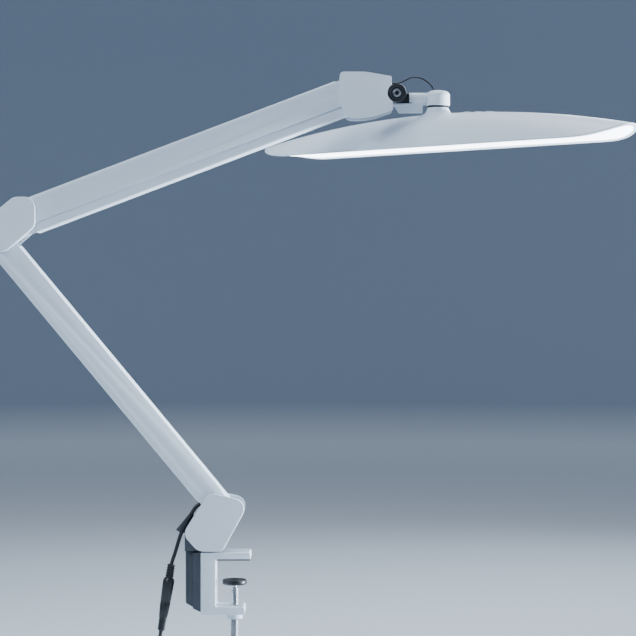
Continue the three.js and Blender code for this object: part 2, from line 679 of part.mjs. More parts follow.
const pinHole = (pivot) => acrossRod(pivot, -OUTER_WIDTH, OUTER_WIDTH, PIN_R + GAP);

// A slot with a bar across it, where a spring hooks on.
function withAnchor(block, outer) {
  const place = anchorNear(outer);
  const slot = acrossRod(place, -ANCHOR_SLOT_WIDTH / 2, ANCHOR_SLOT_WIDTH / 2, ANCHOR_SLOT_R);
  const anchor = acrossRod(place, -ANCHOR_SLOT_WIDTH / 2 - 1, ANCHOR_SLOT_WIDTH / 2 + 1, ANCHOR_R, 12);
  return join(cut(block, slot), anchor);
}

// The two flat covers of a housing; each has a blind socket for every outer pin.
function covers(prefix, outline, sockets, standoffs = [], notches = []) {
  for (const [side, sign] of SIDES) {
    const foot = span(sign, BLOCK_HALF + GAP, COVER_IN + 1);
    const feet = standoffs.map((at) => acrossRod(at, ...foot, STANDOFF_R, 14));
    const depth = span(sign, COVER_IN - 1, COVER_IN + COVER_SOCKET);
    const blind = sockets.map((at) => acrossRod(at, ...depth, PIN_R + GAP));
    const plate = slab(outline, ...span(sign, COVER_IN, COVER_OUT), COVER_EDGE);
    piece(prefix + "_cover_" + side, cut(join(plate, ...feet), ...blind, ...notches), PAINT);
  }
}

// The base block seen from the front, grown by extra.
function baseOutline(extra = 0) {
  const left = socketLeft + COLUMN_CORNER;
  const low = blockUnder + COLUMN_CORNER;
  const high = blockUnder + BASE_COLUMN_HEIGHT - COLUMN_CORNER;
  const discs = [
    [...baseOuter, BLOCK_R],
    [...baseInner, BLOCK_R],
    [...anchorNear(baseOuter), ANCHOR_EYE_R],
    [baseOuter[0] + BASE_FOOT, low, COLUMN_CORNER],
    [left, low, COLUMN_CORNER],
    [left, high, COLUMN_CORNER],
  ];
  return wrap(discs.map(([x, z, r]) => [x, z, r + extra]));
}

function base() {
  const [px] = baseOuter;
  const under = blockUnder;
  const halfColumn = BASE_COLUMN_WIDTH / 2;
  const column = box(socketLeft, socketRight, -halfColumn, halfColumn, under, under + BASE_COLUMN_HEIGHT);
  const body = slab(baseOutline(), -BLOCK_HALF, BLOCK_HALF);
  const glandEnd = new THREE.Vector3(...cordExit).addScaledVector(cordHeading, -GAP);
  const glandStart = glandEnd.clone().addScaledVector(cordHeading, -GLAND_LENGTH);
  const gland = rod(glandStart.toArray(), glandEnd.toArray(), GLAND_R);
  const pinTop = under + SWIVEL_GRIP;
  const bore = rod([swivelX, 0, under - 1], [swivelX, 0, pinTop + GAP], SWIVEL_R + GAP);
  const holes = [bore, pinHole(baseOuter), pinHole(baseInner)];
  const block = cut(withAnchor(join(body, column, gland), baseOuter), ...holes);
  piece("base_block", block, CHARCOAL);
  piece("swivel_pin", rod([swivelX, 0, jawTop - SWIVEL_DEPTH + GAP], [swivelX, 0, pinTop], SWIVEL_R), STEEL);

  const foot = BASE_COVER_FOOT.map(([right, r]) => [px + right, under, r]);
  const outline = rounded([...foot, ...cornersFrom(baseOuter, BASE_COVER)]);
  const standoffs = BASE_STANDOFFS.map(([right, up]) => [px + right, under + up]);
  covers("base", outline, [baseOuter], standoffs);
  pins("base", baseOuter, baseInner);
}

function elbow() {
  const pivots = [elbowLowOuter, elbowLowInner, elbowHighInner, elbowHighOuter];
  const discs = [...pivots.map((at) => [...at, BLOCK_R]), [...anchorNear(elbowHighOuter), ANCHOR_EYE_R]];
  const body = slab(wrap(discs), -BLOCK_HALF, BLOCK_HALF);
  const block = cut(withAnchor(body, elbowHighOuter), ...pivots.map(pinHole));
  piece("elbow_block", block, CASTING);
  const low = cornersFrom(elbowLowOuter, ELBOW_COVER_LOW);
  const outline = rounded([...low, ...cornersFrom(elbowHighInner, ELBOW_COVER_HIGH)]);
  covers("elbow", outline, [elbowLowOuter, elbowHighOuter]);
  pins("elbow_lower", elbowLowOuter, elbowLowInner);
  pins("elbow_upper", elbowHighOuter, elbowHighInner);
}

function headHousing() {
  const [tx, tz] = tilt;
  const neckRoom = RING_R + HINGE_ROOM;
  const waist = HEAD_WAIST;
  const body = slab(
    wrap([[...headOuter, BLOCK_R], [...headInner, BLOCK_R], [tx - neckRoom - waist, tz, waist]]),
    -BLOCK_HALF,
    BLOCK_HALF,
  );
  const earIn = TILT_BLOCK_HALF + GAP;
  const earShape = wrap([[tx, tz, EAR_R], [tx - neckRoom - waist, tz, waist]]);
  const ears = [slab(earShape, earIn, earIn + EAR_THICK), slab(earShape, -earIn - EAR_THICK, -earIn)];
  const screwHole = acrossRod(tilt, -OUTER_WIDTH, OUTER_WIDTH, TILT_SCREW_R + GAP);
  const block = cut(join(body, ...ears), pinHole(headOuter), pinHole(headInner), screwHole);
  piece("head_block", block, CASTING);

  const rear = cornersFrom(headOuter, [...HEAD_COVER_TOP, ...HEAD_COVER_LOW]);
  const outline = rounded([...rear, ...cornersFrom(tilt, HEAD_COVER_FRONT)]);
  const notch = acrossRod(tilt, -OUTER_WIDTH, OUTER_WIDTH, RING_R + PLAY, 28);
  covers("head", outline, [headOuter], [[tx - neckRoom - STANDOFF_R, tz]], [notch]);
  pins("head", headOuter, headInner);

  const ringIn = earIn + EAR_THICK + GAP;
  const seat = RING_OUT - TILT_HEAD_THICK - GAP;
  for (const [side, sign] of SIDES) {
    const disc = acrossRod(tilt, ...span(sign, ringIn, RING_OUT), RING_R, 28);
    const recess = acrossRod(tilt, ...span(sign, seat, RING_OUT + 1), TILT_HEAD_R + GAP, 18);
    piece("hinge_ring_" + side, cut(disc, screwHole, recess), BLACK);
  }
  const headIn = RING_OUT - TILT_HEAD_THICK;
  const screwHead = acrossRod(tilt, -RING_OUT, -headIn, TILT_HEAD_R, 18);
  const stem = acrossRod(tilt, -headIn - 1, headIn - GAP, TILT_SCREW_R, 14);
  const key = acrossRod(tilt, -RING_OUT - 1, -headIn - 1.3, TILT_SCREW_R, 6);
  piece("tilt_screw", cut(join(screwHead, stem), key), STEEL);
  piece("tilt_nut", acrossRod(tilt, headIn, RING_OUT, TILT_HEAD_R, 6), STEEL);
}

function neck() {
  const [tx, tz] = tilt;
  const axis = tz - NECK_DROP;
  const tubeStart = tx + TILT_BLOCK_REACH + GAP;
  const socketEnd = turretX - TURRET_R + TURRET_SOCKET;
  const knuckle = slab(wrap([[tx, tz, EAR_R]]), -TILT_BLOCK_HALF, TILT_BLOCK_HALF);
  const tongueHalf = NECK_R - 2;
  const tongueEnd = tx + TILT_BLOCK_REACH;
  const tongue = box(tx, tongueEnd, -TILT_BLOCK_HALF, TILT_BLOCK_HALF, axis - tongueHalf, axis + tongueHalf);
  const spigotR = NECK_R - NECK_WALL - GAP;
  const spigot = rod([tx + 1, 0, axis], [tubeStart + NECK_SPIGOT, 0, axis], spigotR);
  const screwHole = acrossRod(tilt, -OUTER_WIDTH, OUTER_WIDTH, TILT_SCREW_R + GAP);
  piece("tilt_block", cut(join(knuckle, tongue, spigot), screwHole), BLACK);

  const plateTop = Math.min(tz - RING_R - PLAY, axis - tongueHalf - GAP);
  const plateUnder = plateTop - NECK_PLATE_THICK;
  const tube = rod([tubeStart, 0, axis], [socketEnd - GAP, 0, axis], NECK_R, NECK_R, 24);
  const [plateStart, plateEnd] = [tx - NECK_PLATE_BACK, tubeStart + NECK_PLATE_GRIP];
  const plate = box(plateStart, plateEnd, -NECK_PLATE_HALF, NECK_PLATE_HALF, plateUnder, plateTop);
  const fin = new THREE.Shape();
  fin.moveTo(tx - NECK_WEB_BACK, plateUnder + 0.5);
  fin.lineTo(tx - NECK_WEB_BACK + NECK_WEB_CHAMFER, plateUnder - NECK_WEB_DROP);
  fin.lineTo(tx + NECK_WEB_FRONT, plateUnder - NECK_WEB_DROP);
  fin.lineTo(tx + NECK_WEB_FRONT, axis);
  fin.lineTo(tubeStart, axis);
  fin.lineTo(tubeStart, plateUnder + 0.5);
  const hollow = rod([tubeStart - 1, 0, axis], [socketEnd + 1, 0, axis], NECK_R - NECK_WALL);
  piece("neck_tube", cut(join(tube, plate, slab(fin, -NECK_WEB_HALF, NECK_WEB_HALF)), hollow), PAINT);

  const turretTop = turretUnder + TURRET_HEIGHT;
  const shoulder = turretTop - TURRET_DOME;
  const dome = Array.from({ length: 7 }, (_, i) => {
    const turn = (Math.PI / 2) * (i / 6);
    return [TURRET_R * Math.cos(turn) ** 0.6, shoulder + TURRET_DOME * Math.sin(turn)];
  });
  dome[6][0] = 0;
  const shell = turned([[0, turretUnder], [TURRET_R, turretUnder], ...dome], turretX);
  const boreTop = turretUnder + POST_IN_TURRET + GAP;
  const bore = rod([turretX, 0, turretUnder - 1], [turretX, 0, boreTop], POST_R + GAP);
  const socket = rod([turretX - TURRET_R - 1, 0, axis], [socketEnd, 0, axis], NECK_R + GAP);
  piece("turret", cut(shell, bore, socket), PAINT);
}

// ---------------------------------------------------------------------------------------------------------
// Head
// ---------------------------------------------------------------------------------------------------------
// Height of the rim's curve and of the shell's ridge over the head's lowest plane, at s along the head.
const tipRun = (s) => Math.max(0, Math.abs(s) - HEAD_HALF + HEAD_TIP_RUN) / HEAD_TIP_RUN;
const rimRise = (s) => HEAD_TIP_RISE * tipRun(s) ** 2;
const tipHeight = HEAD_TIP_RISE + RIM_EDGE + TIP_CROWN;
const crestHeight = (s) => HEAD_CAMBER - (HEAD_CAMBER - tipHeight) * (s / HEAD_HALF) ** 2;

// Half width of the head's plan at s, for a plan that is drawn in by inset.
function planHalf(s, inset) {
  const past = Math.max(0, Math.abs(s) - HEAD_HALF + HEAD_END_R) / (HEAD_END_R - inset);
  return (HEAD_WIDTH / 2 - inset) * Math.sqrt(Math.max(0, 1 - past ** 2.4));
}

// A long piece of the head between -half and half: each section spans the plan drawn in by inset, from the
// rim's curve plus low up to an upright edge and a crown.
function headLoft(half, inset, low, edge, crownDrop, across = 10, along = 24) {
  const sections = [];
  for (let i = 0; i <= along; i++) {
    const s = -half * Math.cos((Math.PI * i) / along);
    const w = Math.max(planHalf(s, inset), 0.5);
    const floor = rimRise(s);
    const crown = Math.max(crestHeight(s) - floor - crownDrop - edge, 0);
    const ring = [[s, w, floor + low], [s, -w, floor + low]];
    for (let j = 0; j <= across; j++) {
      const t = -Math.cos((Math.PI * j) / across);
      ring.push([s, w * t, floor + edge + crown * (1 - Math.abs(t) ** CREST_POWER)]);
    }
    sections.push(ring);
  }
  return loft(sections);
}

function shade() {
  const head = new THREE.Group();
  head.position.set(turretX, 0, rim);
  head.rotation.z = radians(HEAD_YAW);
  lamp.add(head);

  const shellEnd = HEAD_HALF - 0.4;
  const outside = headLoft(shellEnd, 0, 0, RIM_EDGE, 0);
  const cavityEnd = HEAD_HALF - RIM_WIDTH - 1;
  const cavityEdge = DIFFUSER_THICK + GAP;
  const cavity = headLoft(cavityEnd, RIM_WIDTH, -2, cavityEdge, ROOF);
  const collarUnder = HEAD_CAMBER - COLLAR_FOOT_DROP;
  const collarHeight = HEAD_CAMBER + COLLAR_FOOT_DROP;
  const collar = rod([0, 0, collarUnder], [0, 0, collarHeight], COLLAR_FOOT_R, COLLAR_TOP_R, 28);
  const postHole = rod([0, 0, 0], [0, 0, collarHeight + 1], POST_R + GAP);
  const roofAt = (s) => crestHeight(s) - ROOF;
  const spreaderTop = SPREADER_RISE + SPREADER_THICK;
  const ribs = RIB_PLACES.map((s) => rod([s, 0, spreaderTop + GAP], [s, 0, roofAt(s) + 1], RIB_R, RIB_R, 12));

  const places = [-1, 0, 1].map((i) => SWITCH_PLACE + i * SWITCH_PITCH);
  const buttonRoof = roofAt(SWITCH_PLACE + SWITCH_PITCH + BUTTON_FLANGE_R) - GAP;
  const buttonUnder = buttonRoof - BUTTON_FLANGE;
  const well = (top, r) => places.map((s) => rod([s, 0, buttonUnder], [s, 0, top], r + GAP));
  const buttonHoles = well(HEAD_CAMBER + 5, BUTTON_R);
  const flangeRoom = well(buttonRoof + GAP, BUTTON_FLANGE_R);
  const boardTop = buttonUnder - BUTTON_TRAVEL - GAP;
  const boardUnder = boardTop - BOARD_THICK;
  const boardPosts = [-1, 1].map((end) => {
    const s = SWITCH_PLACE + (end * (SWITCH_BOARD_LENGTH - 2 * RIB_R)) / 2;
    return rod([s, 0, boardTop + GAP], [s, 0, roofAt(s) + 1], RIB_R - 0.5, RIB_R - 0.5, 12);
  });
  const hollowShell = join(cut(outside, cavity), collar, ...ribs, ...boardPosts);
  const headroom = rod([0, 0, -1], [0, 0, roofAt(0)], COLLAR_FOOT_R + 1);
  const shell = cut(hollowShell, headroom, postHole, ...buttonHoles, ...flangeRoom);
  piece("shade_shell", shell, PAINT, head);

  const diffuserEnd = cavityEnd - GAP;
  const plate = headLoft(diffuserEnd, RIM_WIDTH + GAP, 0, DIFFUSER_THICK, HEAD_CAMBER, 4);
  piece("diffuser", plate, OPAL, head);

  const halfSpreader = SPREADER_WIDTH / 2;
  const low = SPREADER_RISE;
  const spreader = box(-SPREADER_HALF, SPREADER_HALF, -halfSpreader, halfSpreader, low, spreaderTop);
  piece("heat_spreader", spreader, ALUMINIUM, head);
  const ledTop = SPREADER_RISE - GAP;
  const ledUnder = ledTop - BOARD_THICK;
  const halfLed = LED_BOARD_WIDTH / 2;
  const strip = box(-LED_BOARD_HALF, LED_BOARD_HALF, -halfLed, halfLed, ledUnder, ledTop);
  const pitch = (2 * LED_BOARD_HALF) / LED_COUNT;
  const chip = LED_SIZE / 2;
  const chips = Array.from({ length: LED_COUNT }, (_, i) => {
    const s = -LED_BOARD_HALF + pitch * (i + 0.5);
    return box(s - chip, s + chip, -chip, chip, ledUnder - LED_THICK, ledUnder + 0.5);
  });
  piece("led_board", join(strip, ...chips), BOARD, head);

  const driverLow = spreaderTop + GAP;
  const [dx0, dx1] = [DRIVER_PLACE - DRIVER_LENGTH / 2, DRIVER_PLACE + DRIVER_LENGTH / 2];
  const [dy, dz] = [DRIVER_WIDTH / 2, driverLow + DRIVER_STANDOFF];
  const core = CORE_SIZE / 2;
  const canX = DRIVER_PLACE + DRIVER_LENGTH / 4;
  const driver = join(
    box(dx0, dx1, -dy, dy, dz, dz + BOARD_THICK),
    box(dx0 + 2, dx0 + 6, -dy + 2, dy - 2, driverLow, dz + 0.5),
    box(dx1 - 6, dx1 - 2, -dy + 2, dy - 2, driverLow, dz + 0.5),
    box(DRIVER_PLACE - core, DRIVER_PLACE + core, -core, core, dz + 0.5, dz + BOARD_THICK + CORE_HEIGHT),
    rod([canX, 0, dz + 0.5], [canX, 0, dz + BOARD_THICK + CAN_HEIGHT], CAN_R, CAN_R, 14),
  );
  piece("driver_board", driver, BOARD, head);

  const switchHalf = SWITCH_BOARD_LENGTH / 2;
  const [s0, s1] = [SWITCH_PLACE - switchHalf, SWITCH_PLACE + switchHalf];
  const halfBoard = SWITCH_BOARD_WIDTH / 2;
  piece("switch_board", box(s0, s1, -halfBoard, halfBoard, boardUnder, boardTop), BOARD, head);
  const buttonTop = crestHeight(SWITCH_PLACE) + BUTTON_PROUD;
  const button = [
    [0, buttonUnder],
    [BUTTON_FLANGE_R, buttonUnder],
    [BUTTON_FLANGE_R, buttonRoof],
    [BUTTON_R, buttonRoof],
    [BUTTON_R, buttonTop - 0.8],
    [BUTTON_R - 0.8, buttonTop],
    [0, buttonTop],
  ];
  ["power_button", "dimmer_button", "colour_button"].forEach((name, i) => {
    piece(name, turned(button, places[i], 22), BLACK, head);
  });

  const ringUnder = collarHeight + GAP;
  const ringTop = ringUnder + FRICTION_RING;
  const nutTop = roofAt(0) - GAP;
  const post = [
    [0, nutTop - POST_NUT_THICK],
    [POST_NUT_R, nutTop - POST_NUT_THICK],
    [POST_NUT_R, nutTop],
    [POST_R, nutTop],
    [POST_R, ringUnder],
    [FRICTION_RING_R, ringUnder],
    [FRICTION_RING_R, ringTop],
    [POST_R, ringTop],
    [POST_R, ringTop + GAP + POST_IN_TURRET],
    [0, ringTop + GAP + POST_IN_TURRET],
  ];
  piece("swivel_post", turned(post, 0, 28), BLACK, head);
}

// ---------------------------------------------------------------------------------------------------------
// Leads
// ---------------------------------------------------------------------------------------------------------
function leads() {
  // Thin lead from the head housing over the hinge into the turret.
  const [hx, hz] = tilt;
  const headLead = [
    [hx - 14.8, 0, hz + 10.4],
    [hx - 11.2, 0, hz + 12.2],
    [hx - 5.3, 0, hz + 13.3],
    [hx + 3.7, 0, hz + 13.8],
    [hx + 11.7, 0, hz + 17.2],
    [hx + 18.7, 0, hz + 20.3],
    [hx + 26.2, 0, hz + 20.3],
    [hx + 33.7, 0, hz + 17.6],
    [hx + 40.7, 0, hz + 12.1],
    [turretX - 4.6, 0, turretUnder + TURRET_HEIGHT + 1.2],
  ];
  piece("head_lead", cordAlong(headLead, LEAD_R, 24, 8), BLACK);

  // Lamp cord: out of the base housing beside the arm's foot, down to the coupler.
  const [px, pz] = baseOuter;
  const neckEnd = [px - 49, CORD_Y, pz - 72.3];
  const lampCord = [
    cordExit,
    [px - 15.3, CORD_Y, pz + 1.6],
    [px - 19.4, CORD_Y, pz - 0.2],
    [px - 22.9, CORD_Y, pz - 4.4],
    [px - 26.9, CORD_Y, pz - 12.1],
    [px - 32.7, CORD_Y, pz - 24.1],
    [px - 37.0, CORD_Y, pz - 33.8],
    [px - 41.2, CORD_Y, pz - 47.0],
    [px - 44.8, CORD_Y, pz - 59.1],
    [px - 47.4, CORD_Y, pz - 66.6],
    neckEnd,
  ];
  piece("lamp_cord", cordAlong(lampCord, CORD_R, 24, 8), RUBBER);

  // Coupler: its socket on the lamp's cord, its plug on the adapter's lead, in one line.
  const lean = new THREE.Vector3(-13.3, 0, -78.3).normalize();
  const at = (distance) => new THREE.Vector3(...neckEnd).addScaledVector(lean, distance).toArray();
  const stations = [GAP, COUPLER_RELIEF, COUPLER_RELIEF + COUPLER_SOCKET_LENGTH];
  const socket = join(
    rod(at(stations[0]), at(stations[1] + 1), COUPLER_RELIEF_R, COUPLER_RELIEF_R, 18),
    rod(at(stations[1]), at(stations[2]), COUPLER_R + 0.6, COUPLER_R, 20),
  );
  piece("cord_socket", socket, RUBBER);
  const plugStart = stations[2] + GAP;
  const plugEnd = plugStart + COUPLER_PLUG_LENGTH;
  const leadStart = plugEnd + COUPLER_RELIEF;
  const plug = join(
    rod(at(plugStart), at(plugEnd), COUPLER_R, COUPLER_R - 1, 20),
    rod(at(plugEnd - 1), at(leadStart), COUPLER_RELIEF_R, COUPLER_RELIEF_R, 18),
  );
  piece("adapter_plug", plug, RUBBER);

  // Adapter lead: a drop that enters the coil at its left side. The adapter hangs under the inner turns,
  // beside the coil.
  const leadTop = at(leadStart + GAP);
  const pitch = 2 * CORD_R;
  const winding = (COIL_TURNS_HIGH * pitch) / 2 + COIL_EASE;
  const coilHalf = (COIL_TURNS_WIDE * pitch) / 2 + COIL_EASE;
  const [coilOut, coilIn] = [COIL_R + winding, COIL_R - winding];
  const entryR = COIL_R + ((COIL_TURNS_HIGH - 1) * pitch) / 2;
  const exitR = COIL_R - ((COIL_TURNS_HIGH - 1) * pitch) / 2;
  const rimOver = (reach) => Math.sqrt(coilOut ** 2 - reach ** 2); // the coil's rim above its middle
  const entry = [leadTop[0] - LEAD_LEAN, CORD_Y, leadTop[2] - LEAD_DROP];
  const coilX = entry[0] + entryR;
  const coilZ = entry[2] - rimOver(entryR - CORD_R) - GAP;
  const drop = [
    leadTop,
    [leadTop[0] - 0.6 * LEAD_LEAN, CORD_Y, leadTop[2] - 0.25 * LEAD_DROP],
    [leadTop[0] - 0.95 * LEAD_LEAN, CORD_Y, leadTop[2] - 0.6 * LEAD_DROP],
    entry,
  ];
  piece("adapter_lead", cordAlong(drop, CORD_R, 6, 8), RUBBER);
  const ring = [
    [coilIn, -coilHalf],
    [coilOut, -coilHalf],
    [coilOut, coilHalf],
    [coilIn, coilHalf],
    [coilIn, -coilHalf],
  ];
  const coil = turned(ring, 0, 32).rotateX(Math.PI / 2).translate(coilX, CORD_Y, coilZ);
  piece("adapter_coil", coil, RUBBER);

  const cx = coilX - exitR;
  const cy = CORD_Y + ((COIL_TURNS_WIDE + 1) * pitch) / 2;
  const reliefTop = coilZ - rimOver(exitR - ADAPTER_RELIEF_R) - GAP;
  const bodyTop = reliefTop - ADAPTER_RELIEF;
  const [w, d, h] = ADAPTER_SIZE;
  const shape = rounded([
    [cx - w / 2, bodyTop - h, ADAPTER_CORNER],
    [cx + w / 2, bodyTop - h, ADAPTER_CORNER],
    [cx + w / 2, bodyTop, ADAPTER_CORNER],
    [cx - w / 2, bodyTop, ADAPTER_CORNER],
  ]);
  const pinZ = bodyTop - h / 2;
  const pinEnd = cy + d / 2 + ADAPTER_PIN;
  const prong = (x) => rod([x, cy, pinZ], [x, pinEnd, pinZ], ADAPTER_PIN_R, ADAPTER_PIN_R, 12);
  const adapter = join(
    slab(shape, cy - d / 2, cy + d / 2, ADAPTER_EDGE),
    rod([cx, cy, bodyTop - 1], [cx, cy, reliefTop], ADAPTER_RELIEF_R + 1, ADAPTER_RELIEF_R),
    prong(cx - ADAPTER_PIN_PITCH / 2),
    prong(cx + ADAPTER_PIN_PITCH / 2),
  );
  piece("wall_adapter", adapter, BLACK);

  // Dark tongue that guides the cord beside the base housing.
  const tongue = new THREE.Shape(GUIDE_OUTLINE.map(([right, up]) => new THREE.Vector2(px + right, pz + up)));
  const guideY = CORD_Y + CORD_R + GAP;
  const seat = slab(baseOutline(GAP), guideY - 1, guideY + GUIDE_THICK + 1);
  piece("cable_guide", cut(slab(tongue, guideY, guideY + GUIDE_THICK), seat), CHARCOAL);
}

clamp();
base();
arm("lower", baseOuter, LOWER_ANGLE, LOWER_LENGTH, BACK_LEAN, FORWARD_LEAN);
elbow();
arm("upper", elbowHighOuter, UPPER_ANGLE, UPPER_LENGTH, UPPER_RISE, UPPER_FALL);
headHousing();
neck();
shade();
leads();

export default lamp;
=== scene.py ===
# %% [markdown]
# # An architect's desk lamp
# The real lamp is clamped to a desk's edge. A short base turns in a socket behind the clamp, two arms
# stand on it, and a long slim head hangs from the upper arm. Each arm is a pair of nested metal
# channels, so that its far end keeps its level.
#
# The solid model comes packed, with one mesh for each part and one body for each thing that moves. This
# file gives the lamp its looks: fine shapes, cords and finishes, each in the place that the solid model
# says.

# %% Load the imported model
import json
import math

import bmesh
import bpy
from mathutils import Matrix, Vector


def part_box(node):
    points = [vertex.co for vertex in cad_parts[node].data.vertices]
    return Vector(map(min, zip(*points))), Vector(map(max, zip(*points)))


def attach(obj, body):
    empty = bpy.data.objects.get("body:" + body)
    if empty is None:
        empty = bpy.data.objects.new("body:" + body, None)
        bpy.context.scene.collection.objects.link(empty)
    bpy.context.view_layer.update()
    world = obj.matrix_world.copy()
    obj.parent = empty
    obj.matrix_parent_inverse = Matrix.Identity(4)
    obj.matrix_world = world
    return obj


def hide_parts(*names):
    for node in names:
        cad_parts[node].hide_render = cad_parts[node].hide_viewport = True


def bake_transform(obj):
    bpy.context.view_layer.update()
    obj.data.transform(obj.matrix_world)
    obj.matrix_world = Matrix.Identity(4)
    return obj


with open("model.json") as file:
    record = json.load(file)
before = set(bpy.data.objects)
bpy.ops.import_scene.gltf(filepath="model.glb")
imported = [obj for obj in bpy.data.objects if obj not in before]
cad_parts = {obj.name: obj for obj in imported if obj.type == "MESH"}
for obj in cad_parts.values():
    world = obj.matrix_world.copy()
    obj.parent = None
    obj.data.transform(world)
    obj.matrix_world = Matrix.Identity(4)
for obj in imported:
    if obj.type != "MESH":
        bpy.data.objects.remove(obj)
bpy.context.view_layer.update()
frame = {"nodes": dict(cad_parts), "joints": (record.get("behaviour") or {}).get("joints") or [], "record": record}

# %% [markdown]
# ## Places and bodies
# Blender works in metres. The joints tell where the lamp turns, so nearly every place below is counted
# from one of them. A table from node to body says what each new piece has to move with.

MM = 0.001
CLEAR = 0.3 * MM  # between pieces that seat on each other
TINY = 1e-6  # points closer than this are one

joint_at = {joint["name"]: Vector(joint["pos_m"]) for joint in frame["joints"] if "pos_m" in joint}
body_of = {node: body for body, nodes in frame["record"]["behaviour"]["bodies"].items() for node in nodes}

# %% [markdown]
# ## Camera
# The camera looks level along +Y from a little over two metres. A long lens keeps the arms' edges nearly
# parallel. The lens is shifted down a touch instead of tilting the camera, so that upright edges stay
# upright.

# %% Camera
bpy.ops.object.select_all(action="DESELECT")
bpy.ops.object.camera_add(location=(0.1012, -2.4, 0.321), rotation=(math.pi / 2, 0, 0))
camera = bpy.context.object
camera.data.lens = 112.0
camera.data.shift_y = -0.0376
bpy.context.scene.camera = camera
print("camera at", [round(c, 3) for c in camera.location], "lens", camera.data.lens)

# %% [markdown]
# ## Cords
# A cord has a fixed length and its own weight. A Bezier spline with automatic handles runs smoothly
# through listed points, and a bevel depth gives it a round section. A mesh tube would do as
# well, but a curve is easier to correct and its length is easy to measure.

# %% A curve through points
CORD_R = 2.25 * MM
CORD_Y = -7 * MM
base_pivot = joint_at["lower_arm_lift"]


def round_curve(name, radius, roundness):
    """An empty curve with a round section."""
    curve = bpy.data.curves.new(name, "CURVE")
    curve.dimensions = "3D"
    curve.bevel_depth = radius
    curve.bevel_resolution = roundness
    curve.use_fill_caps = True
    cord = bpy.data.objects.new(name, curve)
    bpy.context.collection.objects.link(cord)
    return cord


def cord_through(name, points, radius, steps=6):
    """One smooth spline through the points, with a round section."""
    cord = round_curve(name, radius, 4)
    cord.data.resolution_u = steps
    spline = cord.data.splines.new("BEZIER")
    spline.bezier_points.add(len(points) - 1)
    for knot, place in zip(spline.bezier_points, points):
        knot.co = place
        knot.handle_left_type = knot.handle_right_type = "AUTO"
    return cord


# %% [markdown]
# The lamp's own cord leaves the gland at the base's left side, bends down and hangs beside the clamp. It
# ends in an inline coupler, so that the lamp and its adapter part there.

# %% Lamp cord
LAMP_CORD_STEPS = [
    (-11.8, 1.8), (-13.6, 1.8), (-15.3, 1.6), (-17.5, 0.9), (-19.4, -0.2), (-21.5, -2.0), (-23.3, -4.4),
    (-25.6, -7.9), (-27.9, -12.1), (-31.2, -18.0), (-34.5, -24.1), (-37.0, -28.7), (-39.3, -33.8),
    (-41.6, -40.2), (-43.6, -47.0), (-45.4, -53.1), (-47.2, -59.1), (-49.8, -66.6), (-51.4, -72.3),
]


def beside_base(right, up):
    """A place in the cord's plane, counted in millimetres from the base's first pivot."""
    return base_pivot + Vector((right * MM, CORD_Y, up * MM))


lamp_route = [beside_base(right, up) for right, up in LAMP_CORD_STEPS]
lamp_cord = cord_through("lamp_cord_made", lamp_route, CORD_R)

# %% [markdown]
# The adapter's lead drops from the coupler and is wound for storage: three layers of three turns, a
# cord's thickness apart. A loop walks round the turns, and near the end of each turn it slides over to
# the next column or the next layer, as a hand does when it winds a coil. The last quarter steps out
# beside the coil and drops into the adapter.

# %% Adapter lead and its coil
COUPLER_LENGTH = 80.6 * MM
COIL_MIDDLE_R = 25 * MM
TURN = 2 * CORD_R
LEAD_DROP = 29 * MM
LEAD_LEAN = 2 * MM
POINTS_A_TURN = 16
SLIDE_POINTS = 4  # points of a turn over which it slides to the next place

coupler_lean = Vector((-12.3, 0, -78.3)).normalized()
lead_top = lamp_route[-1] + coupler_lean * COUPLER_LENGTH
entry = lead_top + Vector((-LEAD_LEAN, 0, -LEAD_DROP))
layers = [COIL_MIDDLE_R + TURN, COIL_MIDDLE_R, COIL_MIDDLE_R - TURN]
columns = [-TURN, 0, TURN]
places = [(r, y) for i, r in enumerate(layers) for y in (columns if i % 2 == 0 else columns[::-1])]
coil_z = sum(corner.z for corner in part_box("adapter_coil")) / 2
coil_middle = Vector((entry.x + layers[0], CORD_Y, coil_z))
exit_place = (layers[-1], 2 * TURN)

lead_route = [
    lead_top,
    lead_top + Vector((-0.3 * LEAD_LEAN, 0, -0.12 * LEAD_DROP)),
    lead_top + Vector((-0.6 * LEAD_LEAN, 0, -0.25 * LEAD_DROP)),
    lead_top + Vector((-0.95 * LEAD_LEAN, -0.3 * TURN, -0.6 * LEAD_DROP)),
    entry + Vector((0, -0.8 * TURN, 0)),
]
for turn, (radius, y) in enumerate(places):
    next_radius, next_y = (places + [exit_place])[turn + 1]
    for step in range(POINTS_A_TURN):
        slide = max(0, step - POINTS_A_TURN + SLIDE_POINTS) / SLIDE_POINTS
        angle = math.pi + 2 * math.pi * step / POINTS_A_TURN
        reach = radius + (next_radius - radius) * slide
        spot = Vector((reach * math.cos(angle), y + (next_y - y) * slide, reach * math.sin(angle)))
        lead_route.append(coil_middle + spot)
adapter_low, adapter_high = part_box("wall_adapter")
adapter_x = coil_middle.x - layers[-1]
adapter_y = CORD_Y + 2 * TURN
drop_from = coil_middle.z
drop_to = adapter_high.z + CLEAR
for share in (0, 0.25, 0.5, 0.75, 1):
    lead_route.append(Vector((adapter_x, adapter_y, drop_from + (drop_to - drop_from) * share)))
adapter_lead = cord_through("adapter_lead_made", lead_route, CORD_R, 4)

# %% [markdown]
# ## The stage
# A pale, plain studio: a round floor that curls up into a wall on all sides, so that there is no edge
# behind the lamp from any angle. It is one profile, spun round the upright axis. The spin leaves double
# points along its seam, so they are merged before the normals are made to agree.

# %% Small helpers for modelling by hand
def clear():
    """Leave edit mode and deselect everything."""
    if bpy.context.mode != "OBJECT":
        bpy.ops.object.mode_set(mode="OBJECT")
    bpy.ops.object.select_all(action="DESELECT")


